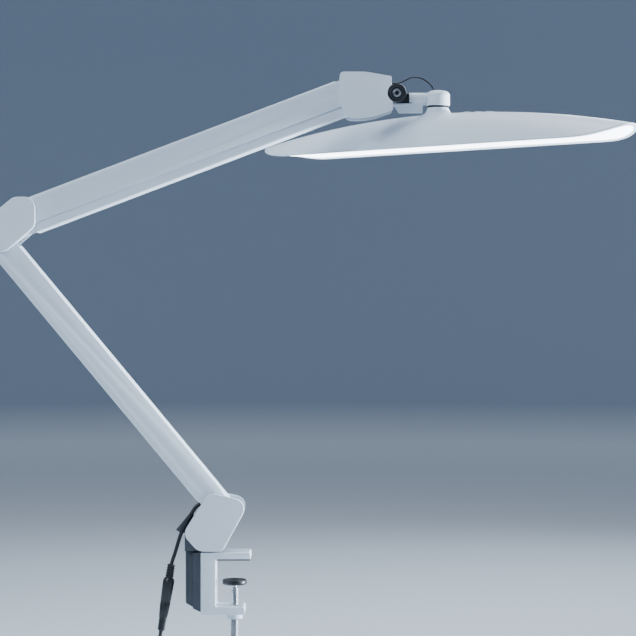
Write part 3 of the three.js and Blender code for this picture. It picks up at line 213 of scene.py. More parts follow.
def take(piece):
    """Make a piece the only one that the next operators act on."""
    clear()
    piece.select_set(True)
    bpy.context.view_layer.objects.active = piece


def choose(kind, test):
    """In edit mode, select the vertices, edges or faces that pass a test."""
    bpy.ops.mesh.select_mode(type=kind)
    bpy.ops.mesh.select_all(action="DESELECT")
    mesh = bmesh.from_edit_mesh(bpy.context.object.data)
    for item in {"VERT": mesh.verts, "EDGE": mesh.edges, "FACE": mesh.faces}[kind]:
        item.select_set(test(item))
    bmesh.update_edit_mesh(bpy.context.object.data)


def middle(item):
    """The middle of an edge or a face."""
    return sum((v.co for v in item.verts), Vector()) / len(item.verts)


def edit():
    """Go into edit mode with everything selected."""
    bpy.ops.object.mode_set(mode="EDIT")
    bpy.ops.mesh.select_all(action="SELECT")


def work_on(piece):
    """Edit one piece, with all of it selected."""
    take(piece)
    edit()


def leave():
    """Leave edit mode."""
    bpy.ops.object.mode_set(mode="OBJECT")


def face_outwards():
    """Turn all normals of the piece in edit mode outwards."""
    bpy.ops.mesh.select_all(action="SELECT")
    bpy.ops.mesh.normals_make_consistent(inside=False)


def extrude(x, y, z):
    """Extrude what is selected and move it."""
    bpy.ops.mesh.extrude_region_move(TRANSFORM_OT_translate={"value": (x, y, z)})


def named(name):
    """The piece that the last operator made, under its name."""
    piece = bpy.context.object
    piece.name = piece.data.name = name
    return piece


def apply_place():
    """Write the selected pieces' place, turn and scale into their meshes."""
    bpy.ops.object.transform_apply(location=True, rotation=True, scale=True)


def along_z(edge, least):
    """Whether an edge spans more than a height."""
    return abs((edge.verts[0].co - edge.verts[1].co).z) > least


def in_mm(*pairs):
    """Pairs of millimetres as metres."""
    return [(a * MM, b * MM) for a, b in pairs]


def modify(piece, kind, **settings):
    """Give the active piece a modifier with its settings, and apply it."""
    modifier = piece.modifiers.new(kind.lower(), kind)
    for name, value in settings.items():
        setattr(modifier, name, value)
    bpy.ops.object.modifier_apply(modifier=modifier.name)


def report(piece):
    """Print a piece's size."""
    size = [round(c / MM, 1) for c in piece.dimensions]
    print(f"{piece.name}: {len(piece.data.polygons)} faces, {size} mm")


# %% [markdown]
# ## Turned parts
# Knobs, rings, plugs and the studio's floor are all round about an axis. A circle primitive gives a ring
# of points, the points are put on the profile, and the spin operator turns it. Where the profile starts
# and ends on the axis, the edge between its two ends is deleted first, because it would spin into
# nothing.

# %% Turning a profile
UP = Vector((0, 0, 1))


def turned(name, profile, start=(0, 0, 0), direction=UP, steps=64, rounding=0.0, smooth=32):
    """Spin a profile of (radius, height) pairs in metres, and stand it at start along a direction."""
    clear()
    bpy.ops.mesh.primitive_circle_add(vertices=len(profile), radius=1, fill_type="NOTHING")
    piece = named(name)
    for vertex, (radius, height) in zip(piece.data.vertices, profile):
        vertex.co = (radius, 0, height)
    edit()
    if profile[0][0] == 0 and profile[-1][0] == 0:
        choose("EDGE", lambda edge: all(v.co.x == 0 for v in edge.verts))
        bpy.ops.mesh.delete(type="EDGE")
        bpy.ops.mesh.select_all(action="SELECT")
    bpy.ops.mesh.spin(steps=steps, angle=2 * math.pi, center=(0, 0, 0), axis=(0, 0, 1))
    bpy.ops.mesh.select_all(action="SELECT")
    bpy.ops.mesh.remove_doubles(threshold=TINY)
    bpy.ops.mesh.normals_make_consistent(inside=False)
    leave()
    stand(piece, start, direction)
    return finished(piece, rounding, smooth)


def stand(piece, start, direction):
    """Turn a piece that was made along +Z to a direction, put it in place, and write that into its mesh."""
    turn = UP.rotation_difference(Vector(direction)).to_matrix().to_4x4()
    piece.matrix_world = Matrix.Translation(start) @ turn
    take(piece)
    apply_place()


def finished(piece, rounding=0.0, smooth=32, segments=2):
    """Round a piece's sharp edges with a bevel, and shade its curved stretches smooth."""
    take(piece)
    if rounding:
        modify(piece, "BEVEL", width=rounding, segments=segments, limit_method="ANGLE",
               angle_limit=math.radians(smooth))
    bpy.ops.object.shade_smooth_by_angle(angle=math.radians(smooth))
    report(piece)
    return piece


# %% Studio floor and wall
FLOOR_Z = adapter_low.z - 40 * MM
FLOOR_R = 4.2
WALL_CURVE = 1.6
WALL_TOP = 3.4
bend = [(math.sin(a), 1 - math.cos(a)) for a in [math.radians(90 * i / 12) for i in range(13)]]
floor_profile = [(0, FLOOR_Z)] + [(FLOOR_R + WALL_CURVE * x, FLOOR_Z + WALL_CURVE * z) for x, z in bend]
floor_profile.append((FLOOR_R + WALL_CURVE, WALL_TOP))
studio = turned("studio_floor", floor_profile + [(0, WALL_TOP + 0.01)], steps=96)
work_on(studio)
choose("FACE", lambda face: face.calc_center_median().z > WALL_TOP)
bpy.ops.mesh.delete(type="FACE")
bpy.ops.mesh.select_all(action="SELECT")
bpy.ops.mesh.flip_normals()
leave()
print(f"floor at {FLOOR_Z:.3f} m")

# %% [markdown]
# ## Light
# Soft light comes from large area lamps: the bigger the lamp, the softer the shadow's edge. A broad key
# stands at the upper left and a weaker fill at the right. One lamp hangs overhead and one stands behind,
# so that white parts stand out from the wall. A small low lamp at the right draws the arms' lower edges.

# %% Studio lamps
def softbox(name, place, target, size, power, colour, spread=110):
    """A square area lamp that faces a target and spreads its light over an angle."""
    clear()
    bpy.ops.object.light_add(type="AREA", location=place)
    lamp = named(name)
    lamp.data.size = size
    lamp.data.energy = power
    lamp.data.color = colour
    lamp.data.spread = math.radians(spread)
    lamp.visible_camera = False
    lamp.rotation_euler = (Vector(target) - Vector(place)).to_track_quat("-Z", "Y").to_euler()
    return lamp


COOL_LIGHT = (0.80, 0.90, 1.0)
MID_LAMP = (0.0, 0.0, 0.3)
softbox("key_light", (-1.9, -2.3, 2.3), MID_LAMP, 1.8, 29, COOL_LIGHT)
softbox("fill_light", (2.9, -0.5, 0.5), MID_LAMP, 1.3, 14, COOL_LIGHT)
softbox("top_light", (0.3, 0.5, 2.7), MID_LAMP, 1.6, 22, COOL_LIGHT)
softbox("back_light", (1.3, 2.5, 1.5), MID_LAMP, 1.4, 18, COOL_LIGHT)
softbox("edge_light", (2.0, 0.2, 0.02), (-0.1, 0, 0.42), 0.5, 26, COOL_LIGHT, 60)

world = bpy.data.worlds.new("studio_air")
world.use_nodes = True
world.node_tree.nodes["Background"].inputs["Color"].default_value = (0.62, 0.70, 0.80, 1)
world.node_tree.nodes["Background"].inputs["Strength"].default_value = 0.55
bpy.context.scene.world = world
print("5 studio lamps")

# %% [markdown]
# ## Finishes
# A finish is a Principled shader with a little life in it. Paint, plastic and metal are never quite
# even: the colour drifts, the gloss changes where hands and tools touched it, and the surface has a fine
# texture. A noise texture on Object coordinates gives all three. It could be painted on an image
# instead, but noise needs no unwrapping and stays sharp at any distance.

# %% Shader helpers
NOISE_LOW = 0.3  # most of a noise's values lie between these two
NOISE_HIGH = 0.7
finishes = {}


def new_finish(name, colour, roughness, metallic=0.0):
    """A material with a plain Principled shader, kept in the table of finishes under its name."""
    material = bpy.data.materials.new(name + "_finish")
    finishes[name] = material
    material.use_nodes = True
    shader = shader_of(material)
    shader.inputs["Base Color"].default_value = (*colour, 1)
    shader.inputs["Roughness"].default_value = roughness
    shader.inputs["Metallic"].default_value = metallic
    return material


def shader_of(material):
    """A material's Principled shader."""
    return material.node_tree.nodes["Principled BSDF"]


def add_node(material, kind, **settings):
    """A new node with its inputs set."""
    node = material.node_tree.nodes.new(kind)
    for name, value in settings.items():
        node.inputs[name.replace("_", " ")].default_value = value
    return node


def wire(material, source, target):
    """Join an output socket to an input socket."""
    material.node_tree.links.new(source, target)


def drive(material, source, name):
    """Let an output socket set one input of the shader."""
    wire(material, source, shader_of(material).inputs[name])


def noise(material, scale, detail=4.0, stretch=(1, 1, 1), turn=(0, 0, 0)):
    """Noise on Object coordinates, stretched and turned; its output runs from 0 to 1."""
    place = add_node(material, "ShaderNodeTexCoord")
    mapping = add_node(material, "ShaderNodeMapping", Scale=stretch, Rotation=turn)
    texture = add_node(material, "ShaderNodeTexNoise", Scale=scale, Detail=detail)
    wire(material, place.outputs["Object"], mapping.inputs["Vector"])
    wire(material, mapping.outputs["Vector"], texture.inputs["Vector"])
    return texture.outputs["Fac"]


def drift(material, fac, dark, light):
    """Let the base colour wander between two colours."""
    ramp = add_node(material, "ShaderNodeValToRGB")
    for stop, place, colour in zip(ramp.color_ramp.elements, (NOISE_LOW, NOISE_HIGH), (dark, light)):
        stop.position = place
        stop.color = (*colour, 1)
    wire(material, fac, ramp.inputs["Fac"])
    drive(material, ramp.outputs["Color"], "Base Color")


def spread_over(material, fac, least, most):
    """Stretch the middle of a noise's range over two values."""
    spread = add_node(material, "ShaderNodeMapRange", From_Min=NOISE_LOW, From_Max=NOISE_HIGH,
                      To_Min=least, To_Max=most)
    wire(material, fac, spread.inputs["Value"])
    return spread.outputs["Result"]


def vary_gloss(material, fac, smooth, rough):
    """Let the roughness wander between two values."""
    drive(material, spread_over(material, fac, smooth, rough), "Roughness")


def texture_relief(material, fac, strength, height):
    """Raise the surface by a fine texture, its height in metres."""
    relief = add_node(material, "ShaderNodeBump", Strength=strength, Distance=height)
    wire(material, fac, relief.inputs["Height"])
    drive(material, relief.outputs["Normal"], "Normal")


def lively(material, colour, shade, patches, gloss, span, grain, relief, stretch=(1, 1, 1)):
    """Colour patches, uneven gloss and a grain, each noise as scale and detail."""
    drift(material, noise(material, *patches), [shade * c for c in colour], colour)
    vary_gloss(material, noise(material, *gloss, stretch), *span)
    texture_relief(material, noise(material, *grain, stretch), *relief)
    return material


# %% [markdown]
# White paint: the arms are extruded aluminium and the clamp is a casting, both powder coated. Such a
# coat is satin and has a faint orange peel about a millimetre across. The covers and the head's shell
# are moulded plastic with a finer spark-eroded texture, and a shade more even.

# %% White finishes
def powder_coat(name, colour):
    """Satin powder coating with a faint orange peel."""
    paint = new_finish(name, colour, 0.4)
    shader_of(paint).inputs["Coat Weight"].default_value = 0.12
    shader_of(paint).inputs["Coat Roughness"].default_value = 0.22
    return lively(paint, colour, 0.955, (9.0, 5.0), (28.0, 6.0), (0.33, 0.46),
                  (900.0, 2.0), (0.28, 0.02 * MM))


def moulded_white(name, colour):
    """White plastic from a spark-eroded mould."""
    plastic = new_finish(name, colour, 0.36)
    shader_of(plastic).inputs["IOR"].default_value = 1.52
    return lively(plastic, colour, 0.97, (6.0, 4.0), (40.0, 6.0), (0.32, 0.42),
                  (2600.0, 3.0), (0.22, 0.012 * MM))


COOL_WHITE = (0.72, 0.79, 0.87)
white_paint = powder_coat("white_paint", COOL_WHITE)
white_arm = powder_coat("white_arm", (0.70, 0.775, 0.86))
white_plastic = moulded_white("white_plastic", (0.75, 0.815, 0.89))
print("white finishes:", white_paint.name, white_arm.name, white_plastic.name)

# %% [markdown]
# Castings and dark plastics: the blocks between the covers are die castings, grey or charcoal, with the
# coarse grain of a blasted mould. The hinge rings, plugs and adapter are black plastic, and the jaw's
# pad is rubber.

# %% Castings, dark plastics and rubber
def casting(name, colour, metallic):
    """A blasted die casting."""
    cast = new_finish(name, colour, 0.5, metallic)
    return lively(cast, colour, 0.82, (70.0, 8.0), (120.0, 6.0), (0.42, 0.6),
                  (1500.0, 4.0), (0.4, 0.03 * MM))


def dark_plastic(name, colour, smooth, rough, grain=2200.0):
    """Black or charcoal plastic with a fine moulded grain."""
    plastic = new_finish(name, colour, rough)
    return lively(plastic, colour, 0.8, (20.0, 5.0), (90.0, 6.0), (smooth, rough),
                  (grain, 3.0), (0.3, 0.015 * MM))


grey_casting = casting("grey_casting", (0.42, 0.46, 0.52), 0.3)
charcoal_casting = casting("charcoal_casting", (0.055, 0.066, 0.085), 0.2)
dark_plastic("charcoal_plastic", (0.05, 0.058, 0.075), 0.4, 0.55, 1600.0)
black_plastic = dark_plastic("black_plastic", (0.012, 0.014, 0.019), 0.28, 0.42)
rubber = dark_plastic("rubber", (0.02, 0.022, 0.026), 0.62, 0.8, 1200.0)
dark_plastic("cable", (0.014, 0.016, 0.021), 0.34, 0.46, 3000.0)
print("dark finishes:", grey_casting.name, charcoal_casting.name, black_plastic.name, rubber.name)

# %% [markdown]
# Bare metal: pins and screws are turned steel, so their gloss is drawn out in fine lines, which run round
# the arms' pins. The heat spreader is rolled aluminium, with longer lines. Noise that is squeezed
# fourteen and forty times across the lines makes them.

# %% Bare metals
def turned_metal(name, colour, smooth, rough, stretch):
    """Metal with fine tool marks along one axis."""
    metal = new_finish(name, colour, rough, 1.0)
    return lively(metal, colour, 0.86, (35.0, 5.0), (60.0, 6.0), (smooth, rough),
                  (160.0, 3.0), (0.15, 0.01 * MM), stretch)


steel = turned_metal("steel", (0.56, 0.58, 0.61), 0.2, 0.36, (1, 14, 1))
head_turn = -math.radians(42.5)
aluminium = turned_metal("aluminium", (0.74, 0.76, 0.79), 0.28, 0.42, (1, 40, 40))
print("metals:", steel.name, aluminium.name)

# %% [markdown]
# The lit diffuser is opal acrylic in front of a row of light-emitting diodes. It gives
# light itself, nearly evenly, with slow patches a little brighter than the rest. The circuit boards are
# glass fibre under a green lacquer that lets a pattern of copper tracks show.

# %% Opal and circuit board
opal = new_finish("opal_plastic", (0.92, 0.95, 1.0), 0.3)
shader_of(opal).inputs["Emission Color"].default_value = (0.90, 0.95, 1.0, 1)
drive(opal, spread_over(opal, noise(opal, 12.0, 2.0), 6.5, 7.5), "Emission Strength")

circuit_board = new_finish("circuit_board", (0.03, 0.16, 0.08), 0.35)
tracks = add_node(circuit_board, "ShaderNodeTexBrick", Scale=160.0, Mortar_Size=0.06)
TRACK_COLOURS = {"Color1": (0.02, 0.13, 0.06), "Color2": (0.03, 0.19, 0.09), "Mortar": (0.22, 0.26, 0.10)}
for part, colour in TRACK_COLOURS.items():
    tracks.inputs[part].default_value = (*colour, 1)
board_place = add_node(circuit_board, "ShaderNodeTexCoord")
board_turn = add_node(circuit_board, "ShaderNodeMapping", Rotation=(0, 0, head_turn))
wire(circuit_board, board_place.outputs["Object"], board_turn.inputs["Vector"])
wire(circuit_board, board_turn.outputs["Vector"], tracks.inputs["Vector"])
drive(circuit_board, tracks.outputs["Color"], "Base Color")
vary_gloss(circuit_board, noise(circuit_board, 300.0), 0.25, 0.4)

# The paper is pale on the floor and darker up the wall: painted shade, so that the wall reads as less lit than the
# floor.
floor_paint = new_finish("studio_paper", (0.70, 0.75, 0.82), 0.85)
paper_place = add_node(floor_paint, "ShaderNodeTexCoord")
paper_parts = add_node(floor_paint, "ShaderNodeSeparateXYZ")
wire(floor_paint, paper_place.outputs["Object"], paper_parts.inputs["Vector"])
wall_shade_ramp = add_node(floor_paint, "ShaderNodeMapRange", From_Min=FLOOR_Z - 0.1, From_Max=FLOOR_Z + 0.35)
wall_shade_ramp.interpolation_type = "SMOOTHSTEP"
wire(floor_paint, paper_parts.outputs["Z"], wall_shade_ramp.inputs["Value"])
drift(floor_paint, wall_shade_ramp.outputs["Result"], (0.74, 0.79, 0.85), (0.36, 0.43, 0.54))
studio.data.materials.append(floor_paint)
print("opal, circuit board and paper ready")

# %% [markdown]
# ## Fitting a piece
# Each new piece is given its finish and tied to its body. The solid stays in the simulation, where it
# collides. It is only hidden from view.

# %% Fit a piece to the lamp
slot_of = {sub["node"]: sub["material_slot"] for sub in frame["record"]["subparts"]}


def dress(piece, slot):
    """Give a piece one finish."""
    piece.data.materials.clear()
    piece.data.materials.append(finishes[slot])


def fit(piece, *nodes, slot=None, body=None):
    """Give a piece its finish and body, and let it stand in for solid nodes."""
    slot = slot or slot_of[nodes[0]]
    dress(piece, slot)
    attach(piece, body or body_of[nodes[0]])
    if nodes:
        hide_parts(*nodes)
    return piece


fit(lamp_cord, "lamp_cord")
fit(adapter_lead, "adapter_lead", "adapter_coil")
print("finishes in the record:", sorted(set(slot_of.values()) - set(finishes)) or "all made")

# %% [markdown]
# ## Castings and channels
# The solid model already has the right shape for the channels, the blocks and the clamp's casting. What
# it lacks is the small rounding that every real edge has. So a copy of the solid's mesh is taken, its
# loose triangles are merged, flat stretches are dissolved into whole faces, and a bevel modifier rounds
# the edges. The solid itself is never touched.

# %% Round the edges of a copy
FLAT = math.radians(0.5)


def softened(node, rounding, segments=2, smooth=32):
    """A copy of a solid node with its edges rounded, in place of the node."""
    clear()
    piece = bpy.data.objects.new(node + "_rounded", frame["nodes"][node].data.copy())
    bpy.context.collection.objects.link(piece)
    work_on(piece)
    bpy.ops.mesh.remove_doubles(threshold=TINY)
    bpy.ops.mesh.dissolve_limited(angle_limit=FLAT)
    leave()
    finished(piece, rounding, smooth, segments)
    return fit(piece, node)


# %% [markdown]
# The clamp is one casting: the upper jaw, the spine behind the desk's edge and the lower jaw with its
# boss. Its edges are generously rounded, so it gets the widest bevel. The socket block behind it takes
# the swivel pin.

# %% Clamp casting, socket block and bush
softened("clamp_frame", 0.9 * MM, 3)
softened("socket_block", 0.7 * MM, 3)
softened("swivel_bush", 0.2 * MM)

# %% [markdown]
# The arms: an outer channel and an inner channel each. Folded and extruded edges are sharp to the hand,
# so the bevel is small. Pins, brackets and blocks are treated alike.

# %% Channels, blocks, pins and brackets
for arm in ("lower", "upper"):
    softened(arm + "_outer_channel", 0.95 * MM, 3)
    softened(arm + "_inner_channel", 0.95 * MM, 3)
    softened(arm + "_spring_bracket", 0.3 * MM)
for block in ("base_block", "elbow_block", "head_block"):
    softened(block, 0.6 * MM)
for joint in ("base", "elbow_lower", "elbow_upper", "head"):
    for place in ("outer", "inner"):
        softened(f"{joint}_pin_{place}", 0.4 * MM)
for node in ("swivel_pin", "tilt_nut", "tilt_block", "neck_tube", "cable_guide"):
    softened(node, 0.4 * MM)
softened("heat_spreader", 0.2 * MM)

# %% [markdown]
# ## Covers
# Base, elbow and head each have two flat plastic covers. A cover is drawn as a polygon of a few corners,
# each with its own radius, so it starts as a circle primitive with as many points as there are corners.
# A vertex bevel rounds one corner at a time. Then the face is extruded to its thickness, the outer rim
# is bevelled for the soft edge that catches the light, and the hidden inside is hollowed as a moulded
# cover is.

# %% A plate with rounded corners
COVER_IN = 17.5 * MM
COVER_THICK = 3.6 * MM
COVER_EDGE = 1.1 * MM
COVER_WALL = 2.0 * MM
COVER_POCKET = 1.9 * MM


def corner_reach(corners, i):
    """How far from a corner its rounding starts."""
    here = Vector(corners[i][:2])
    before = Vector(corners[i - 1][:2]) - here
    after = Vector(corners[(i + 1) % len(corners)][:2]) - here
    return min(corners[i][2] / math.tan(before.angle(after) / 2), before.length / 2.02, after.length / 2.02)


def rounded_polygon(name, corners, y):
    """A flat face in the plane of the arms, with round corners given as x, z and radius in metres."""
    clear()
    bpy.ops.mesh.primitive_circle_add(vertices=len(corners), radius=1, fill_type="NGON")
    plate = named(name)
    for vertex, (x, z, _) in zip(plate.data.vertices, corners):
        vertex.co = (x, y, z)
    edit()
    for i, (x, z, _) in enumerate(corners):
        corner = Vector((x, y, z))
        choose("VERT", lambda v: (v.co - corner).length < TINY)
        bpy.ops.mesh.bevel(offset=corner_reach(corners, i), affect="VERTICES", segments=14, profile=0.5)
    leave()
    return plate


def cover(name, corners, side, notch=None):
    """A cover on the front (side -1) or the rear (side 1) of the lamp."""
    inner, outer = side * COVER_IN, side * (COVER_IN + COVER_THICK)
    plate = rounded_polygon(name + "_moulded", corners, inner)
    edit()
    extrude(0, outer - inner, 0)
    face_outwards()
    leave()
    if notch:
        cut_away(plate, notch)
    work_on(plate)
    choose("EDGE", lambda edge: all(abs(v.co.y - outer) < TINY for v in edge.verts)
           and edge.calc_face_angle(0) > 0.5)
    bpy.ops.mesh.bevel(offset=COVER_EDGE, segments=5, profile=0.5, clamp_overlap=True)
    choose("FACE", lambda face: abs(middle(face).y - inner) < TINY and abs(face.normal.y) > 0.99)
    bpy.ops.mesh.inset(thickness=COVER_WALL)
    extrude(0, side * COVER_POCKET, 0)
    leave()
    finished(plate, 0, 40)
    return fit(plate, name)


def cut_away(piece, tool):
    """Take a tool's shape out of a piece, and remove the tool."""
    take(piece)
    modify(piece, "BOOLEAN", operation="DIFFERENCE", object=tool)
    bpy.data.objects.remove(tool)


def corners_from(pivot, offsets):
    """Corners counted in millimetres from a pivot, as x, z and radius in metres."""
    return [(pivot.x + right * MM, pivot.z + up * MM, radius * MM) for right, up, radius in offsets]


# %% [markdown]
# The base's covers stand on the block's underside, lean back and carry the arm's foot. The elbow's
# covers span the four pins of both arms. The head's covers end in a straight front edge, notched for the
# hinge rings.

# %% Six covers
RING_R = 11.2 * MM
NOTCH_PLAY = 0.5 * MM
tilt_pivot = joint_at["head_tilt"]
elbow_low = joint_at["elbow_level"]
elbow_high = joint_at["upper_link"]
head_pivot = joint_at["head_level"]
foot_z = (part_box("base_cover_front")[0].z - base_pivot.z) / MM

base_corners = corners_from(base_pivot, [
    (-18.4, foot_z, 14), (11.1, foot_z, 8), (44.1, 5.5, 14), (-5.2, 16.9, 10), (-36.9, -33.4, 12),
])
elbow_corners = corners_from(elbow_low, [(-20, -3, 12), (-20, -25, 16), (24.5, -25, 12)])
elbow_corners += corners_from(elbow_high, [(18.3, 1.2, 10), (18.3, 36.8, 15), (-8, 36.8, 12)])
head_corners = corners_from(head_pivot, [
    (17, 15.7, 60), (-13.7, 15.7, 5), (-15.4, -16.8, 30), (-6.7, -40.2, 12), (22, -40.2, 60),
])
head_corners += corners_from(tilt_pivot, [(-4.8, -21, 3), (-6.8, 19.8, 2.5)])

for place, side in (("front", -1), ("rear", 1)):
    cover("base_cover_" + place, base_corners, side)
    cover("elbow_cover_" + place, elbow_corners, side)
    clear()
    bpy.ops.mesh.primitive_cylinder_add(vertices=64, radius=RING_R + NOTCH_PLAY, depth=0.1,
                                        location=tilt_pivot, rotation=(math.pi / 2, 0, 0))
    cover("head_cover_" + place, head_corners, side, notch=bpy.context.object)

# %% [markdown]
# ## Screws
# Three hexagon socket screws show: two hold the socket block, one is the head's tilt axis. A screw is
# one profile, turned, with its key hole cut by a six-sided tool. The hole could be inset and pushed in
# by hand as well, but a round head has no six-sided face to start from.

# %% Hexagon socket screws
def socket_screw(name, start, direction, head_r, head_height, stem_r, length, key_r, key_depth):
    """A screw whose head starts at start and whose stem points along direction."""
    edge = 0.5 * MM
    profile = [
        (0, 0), (head_r - edge, 0), (head_r, edge), (head_r, head_height),
        (stem_r, head_height), (stem_r, length - edge), (stem_r - edge, length), (0, length),
    ]
    screw = turned(name, profile, steps=48)
    clear()
    bpy.ops.mesh.primitive_cylinder_add(vertices=6, radius=key_r, depth=2 * key_depth)
    cut_away(screw, bpy.context.object)
    stand(screw, start, direction)
    return finished(screw, 0.12 * MM, 30)


low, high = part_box("socket_screw_front")
screw_start = Vector((low.x, 0, (low.z + high.z) / 2))
for place in ("front", "rear"):
    low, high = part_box("socket_screw_" + place)
    screw_start.y = (low.y + high.y) / 2
    screw = socket_screw("socket_screw_made_" + place, screw_start, (1, 0, 0), 4.5 * MM, 5 * MM,
                         2.5 * MM, high.x - low.x, 2.3 * MM, 2.6 * MM)
    fit(screw, "socket_screw_" + place)

KEY_R = 3.2 * MM
KEY_DEPTH = 3.1 * MM
tilt_low, tilt_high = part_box("tilt_screw")
tilt_start = Vector((tilt_pivot.x, tilt_low.y, tilt_pivot.z))
tilt_screw = socket_screw("tilt_screw_made", tilt_start, (0, 1, 0), 5 * MM, 3.5 * MM,
                          2.5 * MM, tilt_high.y - tilt_low.y, KEY_R, KEY_DEPTH)
fit(tilt_screw, "tilt_screw")
# A black disc at the key hole's floor is painted shade: it keeps the bottom of the hole dark.
key_hole_shade_profile = in_mm((0, 0), (2.5, 0), (2.7, 0.2), (2.7, 0.6), (0, 0.6))
key_hole_shade = turned("tilt_screw_key_hole_shade", key_hole_shade_profile,
                   tilt_start + Vector((0, KEY_DEPTH - 0.5 * MM, 0)), (0, 1, 0), 6)
fit(key_hole_shade, slot="black_plastic", body=body_of["tilt_screw"])

# %% [markdown]
# ## Head hinge
# A black ring closes the hinge on each side. It has a soft outer edge, a shallow groove that holds a
# thin washer, and a well for the screw's head. The ring is turned about the tilt axis.

# %% Hinge rings and their washers
RING_OUT = 19.6 * MM
WELL_R = 5.3 * MM
WELL_DEPTH = 3.8 * MM
WASHER_R = 7.5 * MM
WASHER_WIDTH = 0.6 * MM
ring_low, ring_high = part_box("hinge_ring_rear")
ring_thick = ring_high.y - ring_low.y

ring_profile = [
    (RING_R, ring_thick), (2.9 * MM, ring_thick), (2.9 * MM, WELL_DEPTH), (WELL_R, WELL_DEPTH),
    (WELL_R, 0.9 * MM), (WELL_R + 0.4 * MM, 0.5 * MM), (WASHER_R - 0.6 * MM, 0.5 * MM),
    (WASHER_R + WASHER_WIDTH, 0.5 * MM), (WASHER_R + WASHER_WIDTH + 0.5 * MM, 0),
    (RING_R - 1.2 * MM, 0), (RING_R - 0.35 * MM, 0.35 * MM), (RING_R, 1.2 * MM),
]
washer_out = WASHER_R + WASHER_WIDTH
washer_profile = [
    (WASHER_R, 0.45 * MM), (WASHER_R + 0.15 * MM, 0.3 * MM), (washer_out - 0.15 * MM, 0.3 * MM),
    (washer_out, 0.45 * MM), (washer_out, 0.7 * MM), (WASHER_R, 0.7 * MM),
]
for place, side in (("front", -1), ("rear", 1)):
    face = Vector((tilt_pivot.x, side * RING_OUT, tilt_pivot.z))
    inward = (0, -side, 0)
    ring = turned("hinge_ring_made_" + place, ring_profile, face, inward, 72)
    fit(ring, "hinge_ring_" + place)
    washer = turned("hinge_washer_" + place, washer_profile, face, inward, 72)
    fit(washer, slot="charcoal_plastic", body=body_of["hinge_ring_front"])

# %% [markdown]
# ## Turret
# The head turns below a small domed turret. Its side is straight, its top a flattened dome whose radius
# goes as a power of the cosine: that keeps the shoulder full and the top flat. A fine groove runs round
# its foot.

# %% Turret
TURRET_DOME = 7 * MM
DOME_POWER = 0.6
DOME_STEPS = 12
turret_low, turret_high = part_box("turret")
swivel = joint_at["head_swivel"]
turret_r = (turret_high.y - turret_low.y) / 2
turret_height = turret_high.z - turret_low.z
shoulder = turret_height - TURRET_DOME
turret_profile = [
    (0, 0), (turret_r - 0.6 * MM, 0), (turret_r, 0.6 * MM), (turret_r, 2.2 * MM),
    (turret_r - 0.35 * MM, 2.4 * MM), (turret_r - 0.35 * MM, 2.8 * MM), (turret_r, 3.0 * MM),
]
for i in range(DOME_STEPS + 1):
    rise = math.pi / 2 * i / DOME_STEPS
    turret_profile.append((turret_r * math.cos(rise) ** DOME_POWER if i < DOME_STEPS else 0,
                           shoulder + TURRET_DOME * math.sin(rise)))
turret = turned("turret_made", turret_profile, (swivel.x, 0, turret_low.z), steps=72)
fit(turret, "turret")

# %% [markdown]
# ## Head
# The head's shell is nearly all that is seen of it: long, with a high ridge in the middle that runs out
# to flat tips, and a rim that turns up at both ends. No primitive comes close, so a grid of faces is
# moved point by point onto the shell's formula. The same formula with smaller values gives the inside,
# and both are joined along the rim by a bridge of faces, so the wall is closed.

# %% The head's formula
HEAD_HALF = 280 * MM
HEAD_WIDTH = 86 * MM
HEAD_CAMBER = 42.3 * MM  # ridge above the rim at the middle
END_ROUND = 65 * MM  # plan rounding of the ends, along the head
TIP_RISE = 14.2 * MM
TIP_RUN = 68 * MM
TIP_POWER = 2.6
RIM_EDGE = 1.3 * MM
RIM_WIDTH = 6.5 * MM  # along the sides
END_SHARE = 0.5  # the rim is this much narrower round the ends
ROOF = 2 * MM
TIP_CROWN = 0.1 * MM
PLAN_POWER = 1.9
CREST_POWER = 2.2
HEAD_LIFT = 1.2 * MM  # the rim hangs this far above the solid's
DIFFUSER_THICK = 0.9 * MM
DIFFUSER_SUNK = 2 * MM
SUNK_LOSS = 0.85  # share of that which is gone at the tips
GRID_ALONG = 120  # faces along the head
head_place = Vector((swivel.x, 0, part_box("diffuser")[0].z + HEAD_LIFT))


def tip_share(s):
    """0 along the straight part of the rim, growing to 1 at a tip."""
    return max(0.0, abs(s) - HEAD_HALF + TIP_RUN) / TIP_RUN


def rim_rise(s):
    """How far the rim turns up, at s along the head."""
    return TIP_RISE * tip_share(s) ** TIP_POWER


def diffuser_rise(s):
    """Height of the diffuser's lit face: sunk into the rim, but less so at the tips."""
    return rim_rise(s) + DIFFUSER_SUNK * (1 - SUNK_LOSS * tip_share(s))


def ridge(s):
    """Height of the ridge above the rim's lowest plane."""
    tip = TIP_RISE + RIM_EDGE + TIP_CROWN
    return HEAD_CAMBER - (HEAD_CAMBER - tip) * (s / HEAD_HALF) ** 2


def plan_half(s, inset=0.0):
    """Half the head's width at s, for a plan that is drawn in by inset."""
    past = max(0.0, abs(s) - HEAD_HALF + END_ROUND) / (END_ROUND - END_SHARE * inset)
    return (HEAD_WIDTH / 2 - inset) * math.sqrt(max(0.0, 1 - past ** PLAN_POWER))


def shell_height(s, y):
    """Height of the shell at a place, over the rim's lowest plane."""
    across = min(1.0, abs(y) / max(plan_half(s), TINY))
    crown = max(ridge(s) - rim_rise(s) - RIM_EDGE, 0.0)
    return rim_rise(s) + RIM_EDGE + crown * (1 - across ** CREST_POWER)


def head_grid(name, half, inset, height, across=32):
    """A grid whose points lie at height(s, y) over a plan that is drawn in by inset."""
    clear()
    bpy.ops.mesh.primitive_grid_add(x_subdivisions=GRID_ALONG, y_subdivisions=across, size=2)
    grid = named(name)
    for vertex in grid.data.vertices:
        s = half * math.sin(math.pi / 2 * vertex.co.x)
        y = plan_half(s, inset) * math.sin(math.pi / 2 * vertex.co.y)
        vertex.co = (s, y, height(s, y))
    return grid


